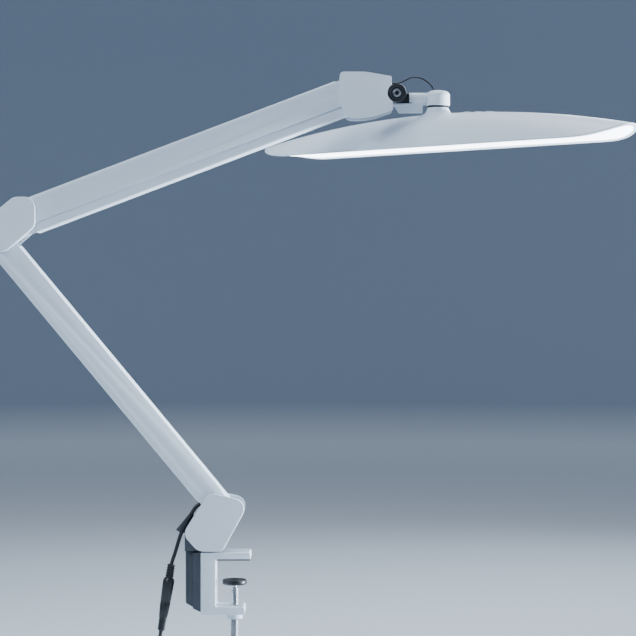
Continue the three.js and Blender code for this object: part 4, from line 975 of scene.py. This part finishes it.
def drop_edge(grid, height):
    """Extrude a grid's outer edge and put it at height(s)."""
    work_on(grid)
    choose("EDGE", lambda edge: edge.is_boundary)
    bpy.ops.mesh.extrude_region_move()
    mesh = bmesh.from_edit_mesh(grid.data)
    for vertex in mesh.verts:
        if vertex.select:
            vertex.co.z = height(vertex.co.x)
    bmesh.update_edit_mesh(grid.data)
    leave()


def turn_head(piece):
    """Turn a piece that was made along X about the turret's axis, and put it under the turret."""
    piece.matrix_world = Matrix.Translation(head_place) @ Matrix.Rotation(head_turn, 4, "Z")
    take(piece)
    apply_place()


print(f"ridge {ridge(0) / MM:.1f} mm at the middle, {ridge(HEAD_HALF) / MM:.1f} mm at the tips")

# %% [markdown]
# The shell: outside and inside grid, both with their edge pulled down to the rim, joined and bridged.
# The rim hangs a little above the solid model's.

# %% Head shell
TIP_CUT = 0.08 * MM  # the plan is cut this far before its very end, so that its edge keeps a length
LINING_PLAY = 0.05 * MM


def lining_height(s, y):
    """Height of the shell's inside, which stays clear of the diffuser."""
    return max(diffuser_rise(s) + DIFFUSER_THICK + LINING_PLAY, shell_height(s, y) - ROOF)


shell = head_grid("shade_shell_made", HEAD_HALF - TIP_CUT, 0, shell_height)
drop_edge(shell, rim_rise)
lining = head_grid("shade_lining", HEAD_HALF - END_SHARE * RIM_WIDTH - TIP_CUT, RIM_WIDTH, lining_height)
drop_edge(lining, rim_rise)
clear()
shell.select_set(True)
lining.select_set(True)
bpy.context.view_layer.objects.active = shell
bpy.ops.object.join()
edit()
choose("EDGE", lambda edge: edge.is_boundary)
bpy.ops.mesh.bridge_edge_loops()
face_outwards()
leave()
turn_head(shell)
finished(shell, 0.45 * MM, 34, 3)
fit(shell, "shade_shell")

# %% [markdown]
# The collar carries the turret. It flares out at its foot and runs into the shell's curve with a fillet,
# as a moulded part does. A cylinder with rings is enough to start from: each ring has its radius and how
# far it has already given way to the shell's surface.

# %% Collar
COLLAR_TOP_R = 12.6 * MM
COLLAR_FOOT_R = 18 * MM
COLLAR_RISE = 9 * MM - HEAD_LIFT
COLLAR_RINGS = 14
FILLET = 9 * MM
FLARE_FROM = 0.35  # share of the way down at which the fillet begins
COLLAR_SUNK = 0.15 * MM  # the foot ends this far inside the shell
COLLAR_MOUTH = 0.45  # how far the top's inner edge is drawn in
COLLAR_EASE = 1.7  # how soon the rings follow the shell
collar_top = HEAD_CAMBER + COLLAR_RISE
clear()
bpy.ops.mesh.primitive_cylinder_add(vertices=72, radius=COLLAR_TOP_R, depth=1, end_fill_type="NOTHING")
collar = named("shade_collar")
edit()
choose("EDGE", lambda edge: along_z(edge, 0.5))
bpy.ops.mesh.subdivide(number_cuts=COLLAR_RINGS - 1)
leave()
for vertex in collar.data.vertices:
    down = 0.5 - vertex.co.z  # 0 at the top, 1 at the foot
    spin = math.atan2(vertex.co.y, vertex.co.x)
    cone_r = COLLAR_TOP_R + (COLLAR_FOOT_R - COLLAR_TOP_R) * down
    flare = FILLET * max(0.0, down - FLARE_FROM) ** 2 / (1 - FLARE_FROM) ** 2
    reach = cone_r + flare
    x, y = reach * math.cos(spin), reach * math.sin(spin)
    landing = shell_height(x, y) - COLLAR_SUNK
    ease = 1 - (1 - down) ** COLLAR_EASE
    vertex.co = (x, y, collar_top + (landing - collar_top) * ease)
work_on(collar)
choose("EDGE", lambda edge: edge.is_boundary and middle(edge).z > collar_top - 10 * TINY)
bpy.ops.mesh.extrude_region_move()
bpy.ops.transform.resize(value=(COLLAR_MOUTH, COLLAR_MOUTH, 1))
face_outwards()
leave()
turn_head(collar)
finished(collar, 0.4 * MM, 40)
fit(collar, slot="white_plastic", body=body_of["shade_shell"])

# %% [markdown]
# The diffuser fills the shell's opening, a little above the rim. It is a plate that follows the rim up
# at both tips.

# %% Diffuser
diffuser_inset = RIM_WIDTH + CLEAR
diffuser = head_grid("diffuser_made", HEAD_HALF - END_SHARE * RIM_WIDTH - CLEAR - TIP_CUT, diffuser_inset,
                     lambda s, y: diffuser_rise(s), across=16)
work_on(diffuser)
extrude(0, 0, DIFFUSER_THICK)
face_outwards()
leave()
turn_head(diffuser)
finished(diffuser, 0.3 * MM, 40)
fit(diffuser, "diffuser")

# %% [markdown]
# The shell's top has three round holes for the push buttons. A button is a low cap with a soft edge, a
# shallow dish for the fingertip and a flange that keeps it from falling out. One profile serves all
# three, but each moves on its own, so each is a piece of its own.

# %% Buttons and their holes
BUTTON_R = 5 * MM
BUTTON_PLAY = 0.25 * MM
BUTTON_PROUD = 0.5 * MM
FLANGE_R = 6.3 * MM
FLANGE_THICK = 1.2 * MM
HOLE_TOOL = 60 * MM  # long enough to go right through the shell's top
for name in ("power_button", "dimmer_button", "colour_button"):
    low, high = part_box(name)
    spot = (low + high) / 2
    along = (Vector((spot.x, spot.y)) - Vector((swivel.x, 0))).length
    top = head_place.z + ridge(along) + BUTTON_PROUD - low.z
    clear()
    bpy.ops.mesh.primitive_cylinder_add(vertices=48, radius=BUTTON_R + BUTTON_PLAY, depth=HOLE_TOOL,
                                        location=(spot.x, spot.y, high.z))
    cut_away(shell, bpy.context.object)
    button_profile = [
        (0, 0), (FLANGE_R, 0), (FLANGE_R, FLANGE_THICK), (BUTTON_R, FLANGE_THICK + 0.3 * MM),
        (BUTTON_R, top - 0.6 * MM), (BUTTON_R - 0.18 * MM, top - 0.18 * MM), (BUTTON_R - 0.6 * MM, top),
        (BUTTON_R - 1.4 * MM, top - 0.05 * MM), (BUTTON_R / 2, top - 0.3 * MM), (0, top - 0.4 * MM),
    ]
    button = turned(name + "_made", button_profile, (spot.x, spot.y, low.z), steps=48)
    fit(button, name, slot="white_plastic")
finished(shell, 0, 34)

# %% [markdown]
# The post that the head swivels on goes up into the turret. Its friction ring is the dark line that
# shows under the turret; a nut holds it inside the shell.

# %% Swivel post
FRICTION_R = 13 * MM
FRICTION_THICK = 1.7 * MM
POST_R = 5 * MM
NUT_R = 9 * MM
NUT_THICK = 4 * MM
post_low, post_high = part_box("swivel_post")
post_height = post_high.z - post_low.z
ring_top = turret_low.z - CLEAR - post_low.z
ring_under = ring_top - FRICTION_THICK
post_profile = [
    (0, 0), (NUT_R - 0.5 * MM, 0), (NUT_R, 0.5 * MM), (NUT_R, NUT_THICK - 0.5 * MM),
    (NUT_R - 0.5 * MM, NUT_THICK), (POST_R, NUT_THICK), (POST_R, ring_under),
    (FRICTION_R - 0.3 * MM, ring_under), (FRICTION_R, ring_under + 0.3 * MM),
    (FRICTION_R, ring_top - 0.3 * MM), (FRICTION_R - 0.3 * MM, ring_top), (POST_R, ring_top),
    (POST_R, post_height - 0.6 * MM), (POST_R - 0.6 * MM, post_height), (0, post_height),
]
post = turned("swivel_post_made", post_profile, (swivel.x, 0, post_low.z), steps=72)
fit(post, "swivel_post")

# %% [markdown]
# ## Springs
# A tension spring in each arm carries the weight. The coil is a small circle of wire that a screw
# modifier turns and lifts at once. The wire then runs to the middle and hooks on at both ends. The hook
# at the pivot is a piece of its own that is tied to no body.

# %% Spring coils
SPRING_R = 7.5 * MM
WIRE_R = 0.85 * MM
SPRING_START = 46 * MM
SPRING_LENGTH = 150 * MM
SPRING_DROP = 5 * MM
SPRING_TURNS = 56
BRACKET_AT = 214 * MM
ANCHOR_RISE = 11 * MM
HOOK_R = 3.4 * MM
# From the coil's end to the bracket: how much of the coil's radius is left, after what share of the way
TAIL_STEPS = ((1, 0), (0.92, 0.03), (0.6, 0.08), (0.2, 0.14), (0, 0.24), (0, 0.5), (0, 0.8), (0, 1))
LINK = joint_at["lower_link"] - joint_at["lower_arm_lift"]


def into_mesh(curve_object):
    """Turn a curve into a mesh of its own."""
    take(curve_object)
    bpy.ops.object.convert(target="MESH")
    return bpy.context.object


def joined(name, pieces):
    """Several pieces made one, under a new name."""
    clear()
    for piece in pieces:
        piece.select_set(True)
    bpy.context.view_layer.objects.active = pieces[0]
    bpy.ops.object.join()
    pieces[0].name = pieces[0].data.name = name
    return pieces[0]


def coil(name, radius, wire_r, pitch, turns, corners=8, steps=22):
    """A helix along +Z that starts at the origin's height."""
    clear()
    bpy.ops.mesh.primitive_circle_add(vertices=corners, radius=wire_r, fill_type="NGON",
                                      location=(radius, 0, 0), rotation=(math.pi / 2, 0, 0))
    piece = named(name)
    apply_place()
    edit()
    bpy.ops.mesh.delete(type="ONLY_FACE")
    leave()
    modify(piece, "SCREW", axis="Z", angle=2 * math.pi, screw_offset=pitch, iterations=turns,
           steps=steps, render_steps=steps)
    edit()
    choose("EDGE", lambda edge: edge.is_boundary)
    bpy.ops.mesh.edge_face_add()
    face_outwards()
    leave()
    return piece


def arm_place(outer, direction, along, rise):
    """A place in an arm: so far along it, and so far above the line of its outer pivots."""
    up = Vector((-direction.z, 0, direction.x))
    return outer + direction * along + up * rise


for arm, near, far, carrier in (("lower", "lower_arm_lift", "elbow_level", "base"),
                                ("upper", "upper_arm_lift", "head_level", "elbow")):
    outer = joint_at[near]
    direction = (joint_at[far] - outer).normalized()
    coil_r = SPRING_R - WIRE_R
    helix = coil(arm + "_coil", coil_r, WIRE_R, SPRING_LENGTH / SPRING_TURNS, SPRING_TURNS)
    stand(helix, arm_place(outer, direction, SPRING_START, -SPRING_DROP), direction)
    coil_end = arm_place(outer, direction, SPRING_START + SPRING_LENGTH, -SPRING_DROP)
    bracket = arm_place(outer, direction, BRACKET_AT - CLEAR, -SPRING_DROP)
    rest = (bracket - coil_end).length
    turn_up = UP.rotation_difference(direction) @ Vector((1, 0, 0))
    tail = [coil_end + turn_up * coil_r * k + direction * rest * t for k, t in TAIL_STEPS]
    far_hook = into_mesh(cord_through(arm + "_far_hook", tail, WIRE_R))
    spring = joined(arm + "_spring_made", [helix, far_hook])
    finished(spring, 0, 50)
    fit(spring, arm + "_spring")

    normal = Vector((-LINK.z, 0, LINK.x)).normalized()
    anchor = outer + LINK / 2 + normal * ANCHOR_RISE
    coil_start = arm_place(outer, direction, SPRING_START, -SPRING_DROP)
    pull = (coil_start - anchor).normalized()
    side = Vector((-pull.z, 0, pull.x))
    loop = [anchor - pull * HOOK_R * math.cos(a) - side * HOOK_R * math.sin(a)
            for a in [math.radians(d) for d in range(-150, 151, 30)]]
    reach = (coil_start - anchor).length
    shank = [anchor + pull * reach * t for t in (0.24, 0.4, 0.55, 0.7, 0.82)]
    lead_in = [coil_start + turn_up * coil_r * k - direction * reach * t
               for k, t in ((0.25, 0.10), (0.65, 0.05), (1, 0))]
    near_hook = into_mesh(cord_through(arm + "_hook_made", loop + shank + lead_in, WIRE_R))
    finished(near_hook, 0, 50)
    dress(near_hook, "steel")
    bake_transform(near_hook)

# %% [markdown]
# ## Clamp screw, knob and plate
# The clamp screw has a real thread: a wedge-shaped wire, wound round the core by the same screw modifier
# as the springs. The knob starts as a cylinder whose side is drawn in between five lobes. The plate that
# presses on the desk's underside has a rubber face.

# %% Clamp screw with its thread
SCREW_R = 5 * MM
CORE_R = 4.2 * MM
THREAD_PITCH = 2 * MM
THREAD_TURNS = 37
screw_low, screw_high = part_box("clamp_screw")
screw_length = screw_high.z - screw_low.z
core_profile = [
    (0, 0), (CORE_R, 0), (CORE_R, screw_length - 7 * MM), (CORE_R - 0.9 * MM, screw_length - 6 * MM),
    (CORE_R - 0.9 * MM, screw_length - 4 * MM), (CORE_R, screw_length - 3 * MM),
    (CORE_R - 0.4 * MM, screw_length - 1.2 * MM), (CORE_R - 1.6 * MM, screw_length - 0.2 * MM),
    (0, screw_length),
]
core = turned("clamp_screw_core", core_profile, (0, 0, screw_low.z), steps=40)
thread = coil("clamp_screw_thread", CORE_R + 0.1 * MM, 0.7 * MM, THREAD_PITCH, THREAD_TURNS, 4, 28)
thread.data.transform(Matrix.Translation((0, 0, screw_low.z + 1 * MM)))
clamp_screw = joined("clamp_screw_made", [core, thread])
finished(clamp_screw, 0, 30)
fit(clamp_screw, "clamp_screw")

# %% Knob
KNOB_R = 15 * MM
KNOB_WAVE = 2.45 * MM
KNOB_LOBES = 5
KNOB_TAPER = 1.2 * MM
KNOB_RIM = 3.2 * MM
KNOB_DISH = 2.2 * MM
KNOB_TOP_RIM = 2.4 * MM
KNOB_TOP_DISH = 1.2 * MM
knob_low, knob_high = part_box("clamp_knob")
knob_height = knob_high.z - knob_low.z
clear()
bpy.ops.mesh.primitive_cylinder_add(vertices=120, radius=KNOB_R, depth=knob_height,
                                    location=(0, 0, (knob_low.z + knob_high.z) / 2))
apply_place()
knob = named("clamp_knob_made")
edit()
choose("EDGE", lambda edge: along_z(edge, 1 * MM))
bpy.ops.mesh.subdivide(number_cuts=5)
leave()
for vertex in knob.data.vertices:
    spin = math.atan2(vertex.co.y, vertex.co.x)
    up = (vertex.co.z - knob_low.z) / knob_height
    radius = KNOB_R - KNOB_WAVE * (1 - math.cos(KNOB_LOBES * spin)) - KNOB_TAPER * up ** 2
    vertex.co.x, vertex.co.y = radius * math.cos(spin), radius * math.sin(spin)
work_on(knob)
choose("FACE", lambda face: face.normal.z < -0.99)
bpy.ops.mesh.inset(thickness=KNOB_RIM)
extrude(0, 0, KNOB_DISH)
choose("FACE", lambda face: face.normal.z > 0.99 and middle(face).z > knob_high.z - 0.1 * MM)
bpy.ops.mesh.inset(thickness=KNOB_TOP_RIM)
extrude(0, 0, -KNOB_TOP_DISH)
leave()
finished(knob, 0.9 * MM, 40, 3)
fit(knob, "clamp_knob")

# %% Pressure plate and its rubber face
PLATE_R = 15 * MM
plate_low, plate_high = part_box("pressure_plate")
rubber_thick = 1.4 * MM
metal_top = plate_high.z - plate_low.z - rubber_thick
plate_profile = [
    (0, 3 * MM), (SCREW_R + CLEAR, 3 * MM), (SCREW_R + CLEAR, 0), (PLATE_R - 2.4 * MM, 0),
    (PLATE_R - 0.5 * MM, 0.6 * MM), (PLATE_R, 2 * MM), (PLATE_R, metal_top), (0, metal_top),
]
plate = turned("pressure_plate_made", plate_profile, (0, 0, plate_low.z), steps=72, rounding=0.25 * MM)
fit(plate, "pressure_plate")
face_profile = [(0, 0), (PLATE_R - 0.5 * MM, 0)]
for groove in range(3):
    groove_r = PLATE_R - (1.4 + 3.6 * groove) * MM
    face_profile += [
        (groove_r + 0.9 * MM, rubber_thick - 0.1 * MM), (groove_r + 0.6 * MM, rubber_thick),
        (groove_r - 1.2 * MM, rubber_thick), (groove_r - 1.5 * MM, rubber_thick - 0.7 * MM),
        (groove_r - 2.4 * MM, rubber_thick - 0.7 * MM),
    ]
face_profile.append((0, rubber_thick))
plate_face = turned("plate_face_made", face_profile, (0, 0, plate_low.z + metal_top), steps=72)
fit(plate_face, slot="rubber", body=body_of["pressure_plate"])

# %% [markdown]
# The jaw's rubber pad is ribbed across, so that it grips. It starts as a grid, is extruded to its
# thickness, and every other strip of its underside is extruded once more.

# %% Jaw pad
PAD_STRIPS = 25
PAD_RIB = 0.5 * MM
pad_low, pad_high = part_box("top_jaw_pad")
pad_size = pad_high - pad_low
clear()
bpy.ops.mesh.primitive_grid_add(x_subdivisions=PAD_STRIPS, y_subdivisions=1, size=1)
pad = named("top_jaw_pad_made")
for vertex in pad.data.vertices:
    vertex.co = (pad_low.x + (vertex.co.x + 0.5) * pad_size.x, pad_low.y + (vertex.co.y + 0.5) * pad_size.y,
                 pad_high.z)
work_on(pad)
extrude(0, 0, PAD_RIB - pad_size.z)
face_outwards()
choose("FACE", lambda face: face.normal.z < -0.9
       and int((middle(face).x - pad_low.x) / pad_size.x * PAD_STRIPS) % 2 == 0)
extrude(0, 0, -PAD_RIB)
leave()
finished(pad, 0.15 * MM)
fit(pad, "top_jaw_pad")

# %% [markdown]
# ## Coupler and wall adapter
# The cord's socket and the adapter's plug make one slim coupler, tapered to both ends. Each ends in a
# strain relief: a narrower sleeve whose ribs let the cord bend without a kink. Socket and plug are one
# profile each, turned and laid along the cord's lean.

# %% Coupler
def ribs(r_from, r_to, start, end, count, depth=1 * MM):
    """Profile points of a tapered sleeve with grooves between its ribs."""
    points = []
    pitch = (end - start) / count
    for i in range(count):
        radius = r_from + (r_to - r_from) * i / (count - 1)
        low = start + i * pitch
        points += [
            (radius, low + 0.05 * pitch), (radius, low + 0.55 * pitch),
            (radius - depth, low + 0.65 * pitch), (radius - depth, low + 0.95 * pitch),
        ]
    return points


RELIEF = 18  # these two in millimetres
SOCKET_END = 45
PLUG_START = 45.3 * MM
PLUG_END = 62.3 * MM
socket_profile = in_mm((0, -1.2), (3.4, -1.2)) + ribs(4.8 * MM, 5.1 * MM, -0.6 * MM, 15 * MM, 5)
socket_profile += in_mm((5.1, 15.2), (6.7, RELIEF), (7, 19.5), (6.4, 42.5), (6, 43), (6, 43.6), (6.3, 44),
                        (6.1, SOCKET_END), (0, SOCKET_END))
plug_profile = [
    (0, PLUG_START), (6.1 * MM, PLUG_START), (6.3 * MM, PLUG_START + 0.4 * MM),
    (5.4 * MM, PLUG_END - 1 * MM), (5 * MM, PLUG_END),
] + ribs(4.9 * MM, 4.6 * MM, PLUG_END + 1 * MM, COUPLER_LENGTH - 0.8 * MM, 5)
plug_profile += [(3.2 * MM, COUPLER_LENGTH - 0.3 * MM), (0, COUPLER_LENGTH - 0.3 * MM)]
cord_socket = turned("cord_socket_made", socket_profile, lamp_route[-1], coupler_lean, 48, smooth=40)
fit(cord_socket, "cord_socket")
adapter_plug = turned("adapter_plug_made", plug_profile, lamp_route[-1], coupler_lean, 48, smooth=40)
fit(adapter_plug, "adapter_plug")

# %% [markdown]
# The wall adapter is a small black block of two moulded halves. The seam between them is a fine groove
# round its waist. Two round pins point to the wall, and a ribbed sleeve guards the lead.

# %% Wall adapter
ADAPTER_WIDTH = 44 * MM
ADAPTER_DEPTH = 28 * MM
ADAPTER_HEIGHT = 52 * MM
ADAPTER_CORNER = 6 * MM
ADAPTER_EDGE = 2 * MM
SEAM_DEPTH = 0.6 * MM
SEAM_SHARE = 0.06  # of the depth; the two halves share the rest
FRONT_AREA = 0.0005  # in square metres; only the front face is larger
RECESS_RIM = 2.5 * MM  # less than the corners have left past the edge, so that they keep a length
RECESS_DEPTH = 0.5 * MM
PIN_PITCH = 19 * MM
PIN_LENGTH = 19 * MM
PIN_R = 2.4 * MM
adapter_top = adapter_low.z + ADAPTER_HEIGHT
front_y = adapter_y - ADAPTER_DEPTH / 2
adapter_corners = [
    (adapter_x + i * ADAPTER_WIDTH / 2, adapter_low.z + (1 - j) / 2 * ADAPTER_HEIGHT, ADAPTER_CORNER)
    for i, j in ((-1, 1), (1, 1), (1, -1), (-1, -1))
]
adapter = rounded_polygon("wall_adapter_made", adapter_corners, front_y)
edit()
for share in (0.47, SEAM_SHARE, 0.47):
    extrude(0, share * ADAPTER_DEPTH, 0)
face_outwards()
choose("FACE", lambda face: abs(face.normal.y) < 0.5
       and abs(middle(face).y - adapter_y) < 0.05 * ADAPTER_DEPTH)
bpy.ops.mesh.inset(thickness=0.35 * MM, depth=-SEAM_DEPTH)
choose("EDGE", lambda edge: abs(abs(middle(edge).y - adapter_y) - ADAPTER_DEPTH / 2) < TINY
       and edge.calc_face_angle(0) > 1)
bpy.ops.mesh.bevel(offset=ADAPTER_EDGE, segments=5, profile=0.5)
choose("FACE", lambda face: face.normal.y < -0.99 and face.calc_area() > FRONT_AREA)
bpy.ops.mesh.inset(thickness=RECESS_RIM)
bpy.ops.mesh.inset(thickness=0.5 * MM, depth=-RECESS_DEPTH)
leave()
finished(adapter, 0, 40)

sleeve_profile = in_mm((0, 0), (5, 0)) + ribs(4.8 * MM, 4 * MM, 0.5 * MM, 13.4 * MM, 5)
sleeve_profile += in_mm((2.9, 14), (0, 14))
sleeve_foot = (adapter_x, adapter_y, adapter_top - 0.1 * MM)
sleeve = turned("adapter_sleeve", sleeve_profile, sleeve_foot, UP, 48, smooth=40)
adapter = joined("wall_adapter_made", [adapter, sleeve])
fit(adapter, "wall_adapter")

PIN_SLEEVE = 10 * MM
pin_start = Vector((adapter_x, adapter_y + ADAPTER_DEPTH / 2 - 0.1 * MM,
                    adapter_low.z + ADAPTER_HEIGHT / 2))
pin_profile = [
    (0, 0), (PIN_R - 0.35 * MM, 0), (PIN_R - 0.35 * MM, PIN_SLEEVE), (PIN_R, PIN_SLEEVE + 0.2 * MM),
    (PIN_R, PIN_LENGTH - 1.6 * MM), (PIN_R - 0.8 * MM, PIN_LENGTH - 0.4 * MM), (0, PIN_LENGTH),
]
for place, side in (("left", -1), ("right", 1)):
    pin = turned("adapter_pin_" + place, pin_profile, pin_start + Vector((side * PIN_PITCH / 2, 0, 0)),
                 (0, 1, 0), 32)
    fit(pin, slot="steel", body=body_of["wall_adapter"])

# %% [markdown]
# A hook-and-loop band holds the coil together. It starts as a cube round the bundle, loses its two open
# ends, gets round corners, and a solidify modifier gives the strip its thickness.

# %% Coil tie
TIE_INNER = 14.6 * MM
TIE_WIDTH = 8 * MM
TIE_THICK = 0.9 * MM
TIE_CORNER = 2.6 * MM
tie_place = coil_middle + Vector((COIL_MIDDLE_R, 0, 0))
clear()
bpy.ops.mesh.primitive_cube_add(size=1, location=tie_place)
tie = named("coil_tie")
tie.scale = (TIE_INNER, TIE_INNER, TIE_WIDTH)
apply_place()
edit()
choose("FACE", lambda face: abs(face.normal.z) > 0.9)
bpy.ops.mesh.delete(type="ONLY_FACE")
choose("EDGE", lambda edge: along_z(edge, 1 * MM))
bpy.ops.mesh.bevel(offset=TIE_CORNER, segments=6, profile=0.5)
leave()
modify(tie, "SOLIDIFY", thickness=TIE_THICK, offset=1)
finished(tie, 0.2 * MM)
fit(tie, slot="rubber", body=body_of["adapter_coil"])

# %% [markdown]
# ## Head lead
# A thin lead leaps from the head's housing over the hinge to the turret. It has to bend when the head
# tilts; here it is a mesh tube along a smooth path, tied to no body.

# %% Head lead
LEAD_R = 1 * MM
HEAD_LEAD_STEPS = [
    (-14.8, 10.4), (-11.2, 12.2), (-5.3, 13.3), (3.7, 13.8), (11.7, 17.2), (18.7, 20.3),
    (26.2, 20.3), (33.7, 17.6), (40.7, 12.1),
]
LEAD_FINE = 6  # steps between two of the points above


def smooth_path(points, steps):
    """A denser path through the same points, as a Catmull-Rom spline."""
    padded = [points[0] * 2 - points[1]] + points + [points[-1] * 2 - points[-2]]
    path = []
    for a, b, c, d in zip(padded, padded[1:], padded[2:], padded[3:]):
        for k in range(steps):
            t = k / steps
            path.append(0.5 * (2 * b + (c - a) * t + (2 * a - 5 * b + 4 * c - d) * t ** 2
                               + (3 * b - a - 3 * c + d) * t ** 3))
    return path + [points[-1]]


lead_points = [tilt_pivot + Vector((right * MM, 0, up * MM)) for right, up in HEAD_LEAD_STEPS]
lead_points.append(Vector((swivel.x - 4.6 * MM, 0, turret_high.z + 0.9 * MM)))
head_lead_path = smooth_path(lead_points, LEAD_FINE)
head_lead = round_curve("head_lead_made", LEAD_R, 3)
lead_spline = head_lead.data.splines.new("POLY")
lead_spline.points.add(len(head_lead_path) - 1)
for knot, place in zip(lead_spline.points, head_lead_path):
    knot.co = (*place, 1)
head_lead = into_mesh(head_lead)
finished(head_lead, 0, 50)
dress(head_lead, "black_plastic")
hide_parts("head_lead")
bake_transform(head_lead)

# %% [markdown]
# ## Finish
# What is left of the solid model keeps its own mesh and gets a finish.

# %% Carry over the rest
for name, node in frame["nodes"].items():
    node.data.materials[0] = finishes[slot_of[name]]
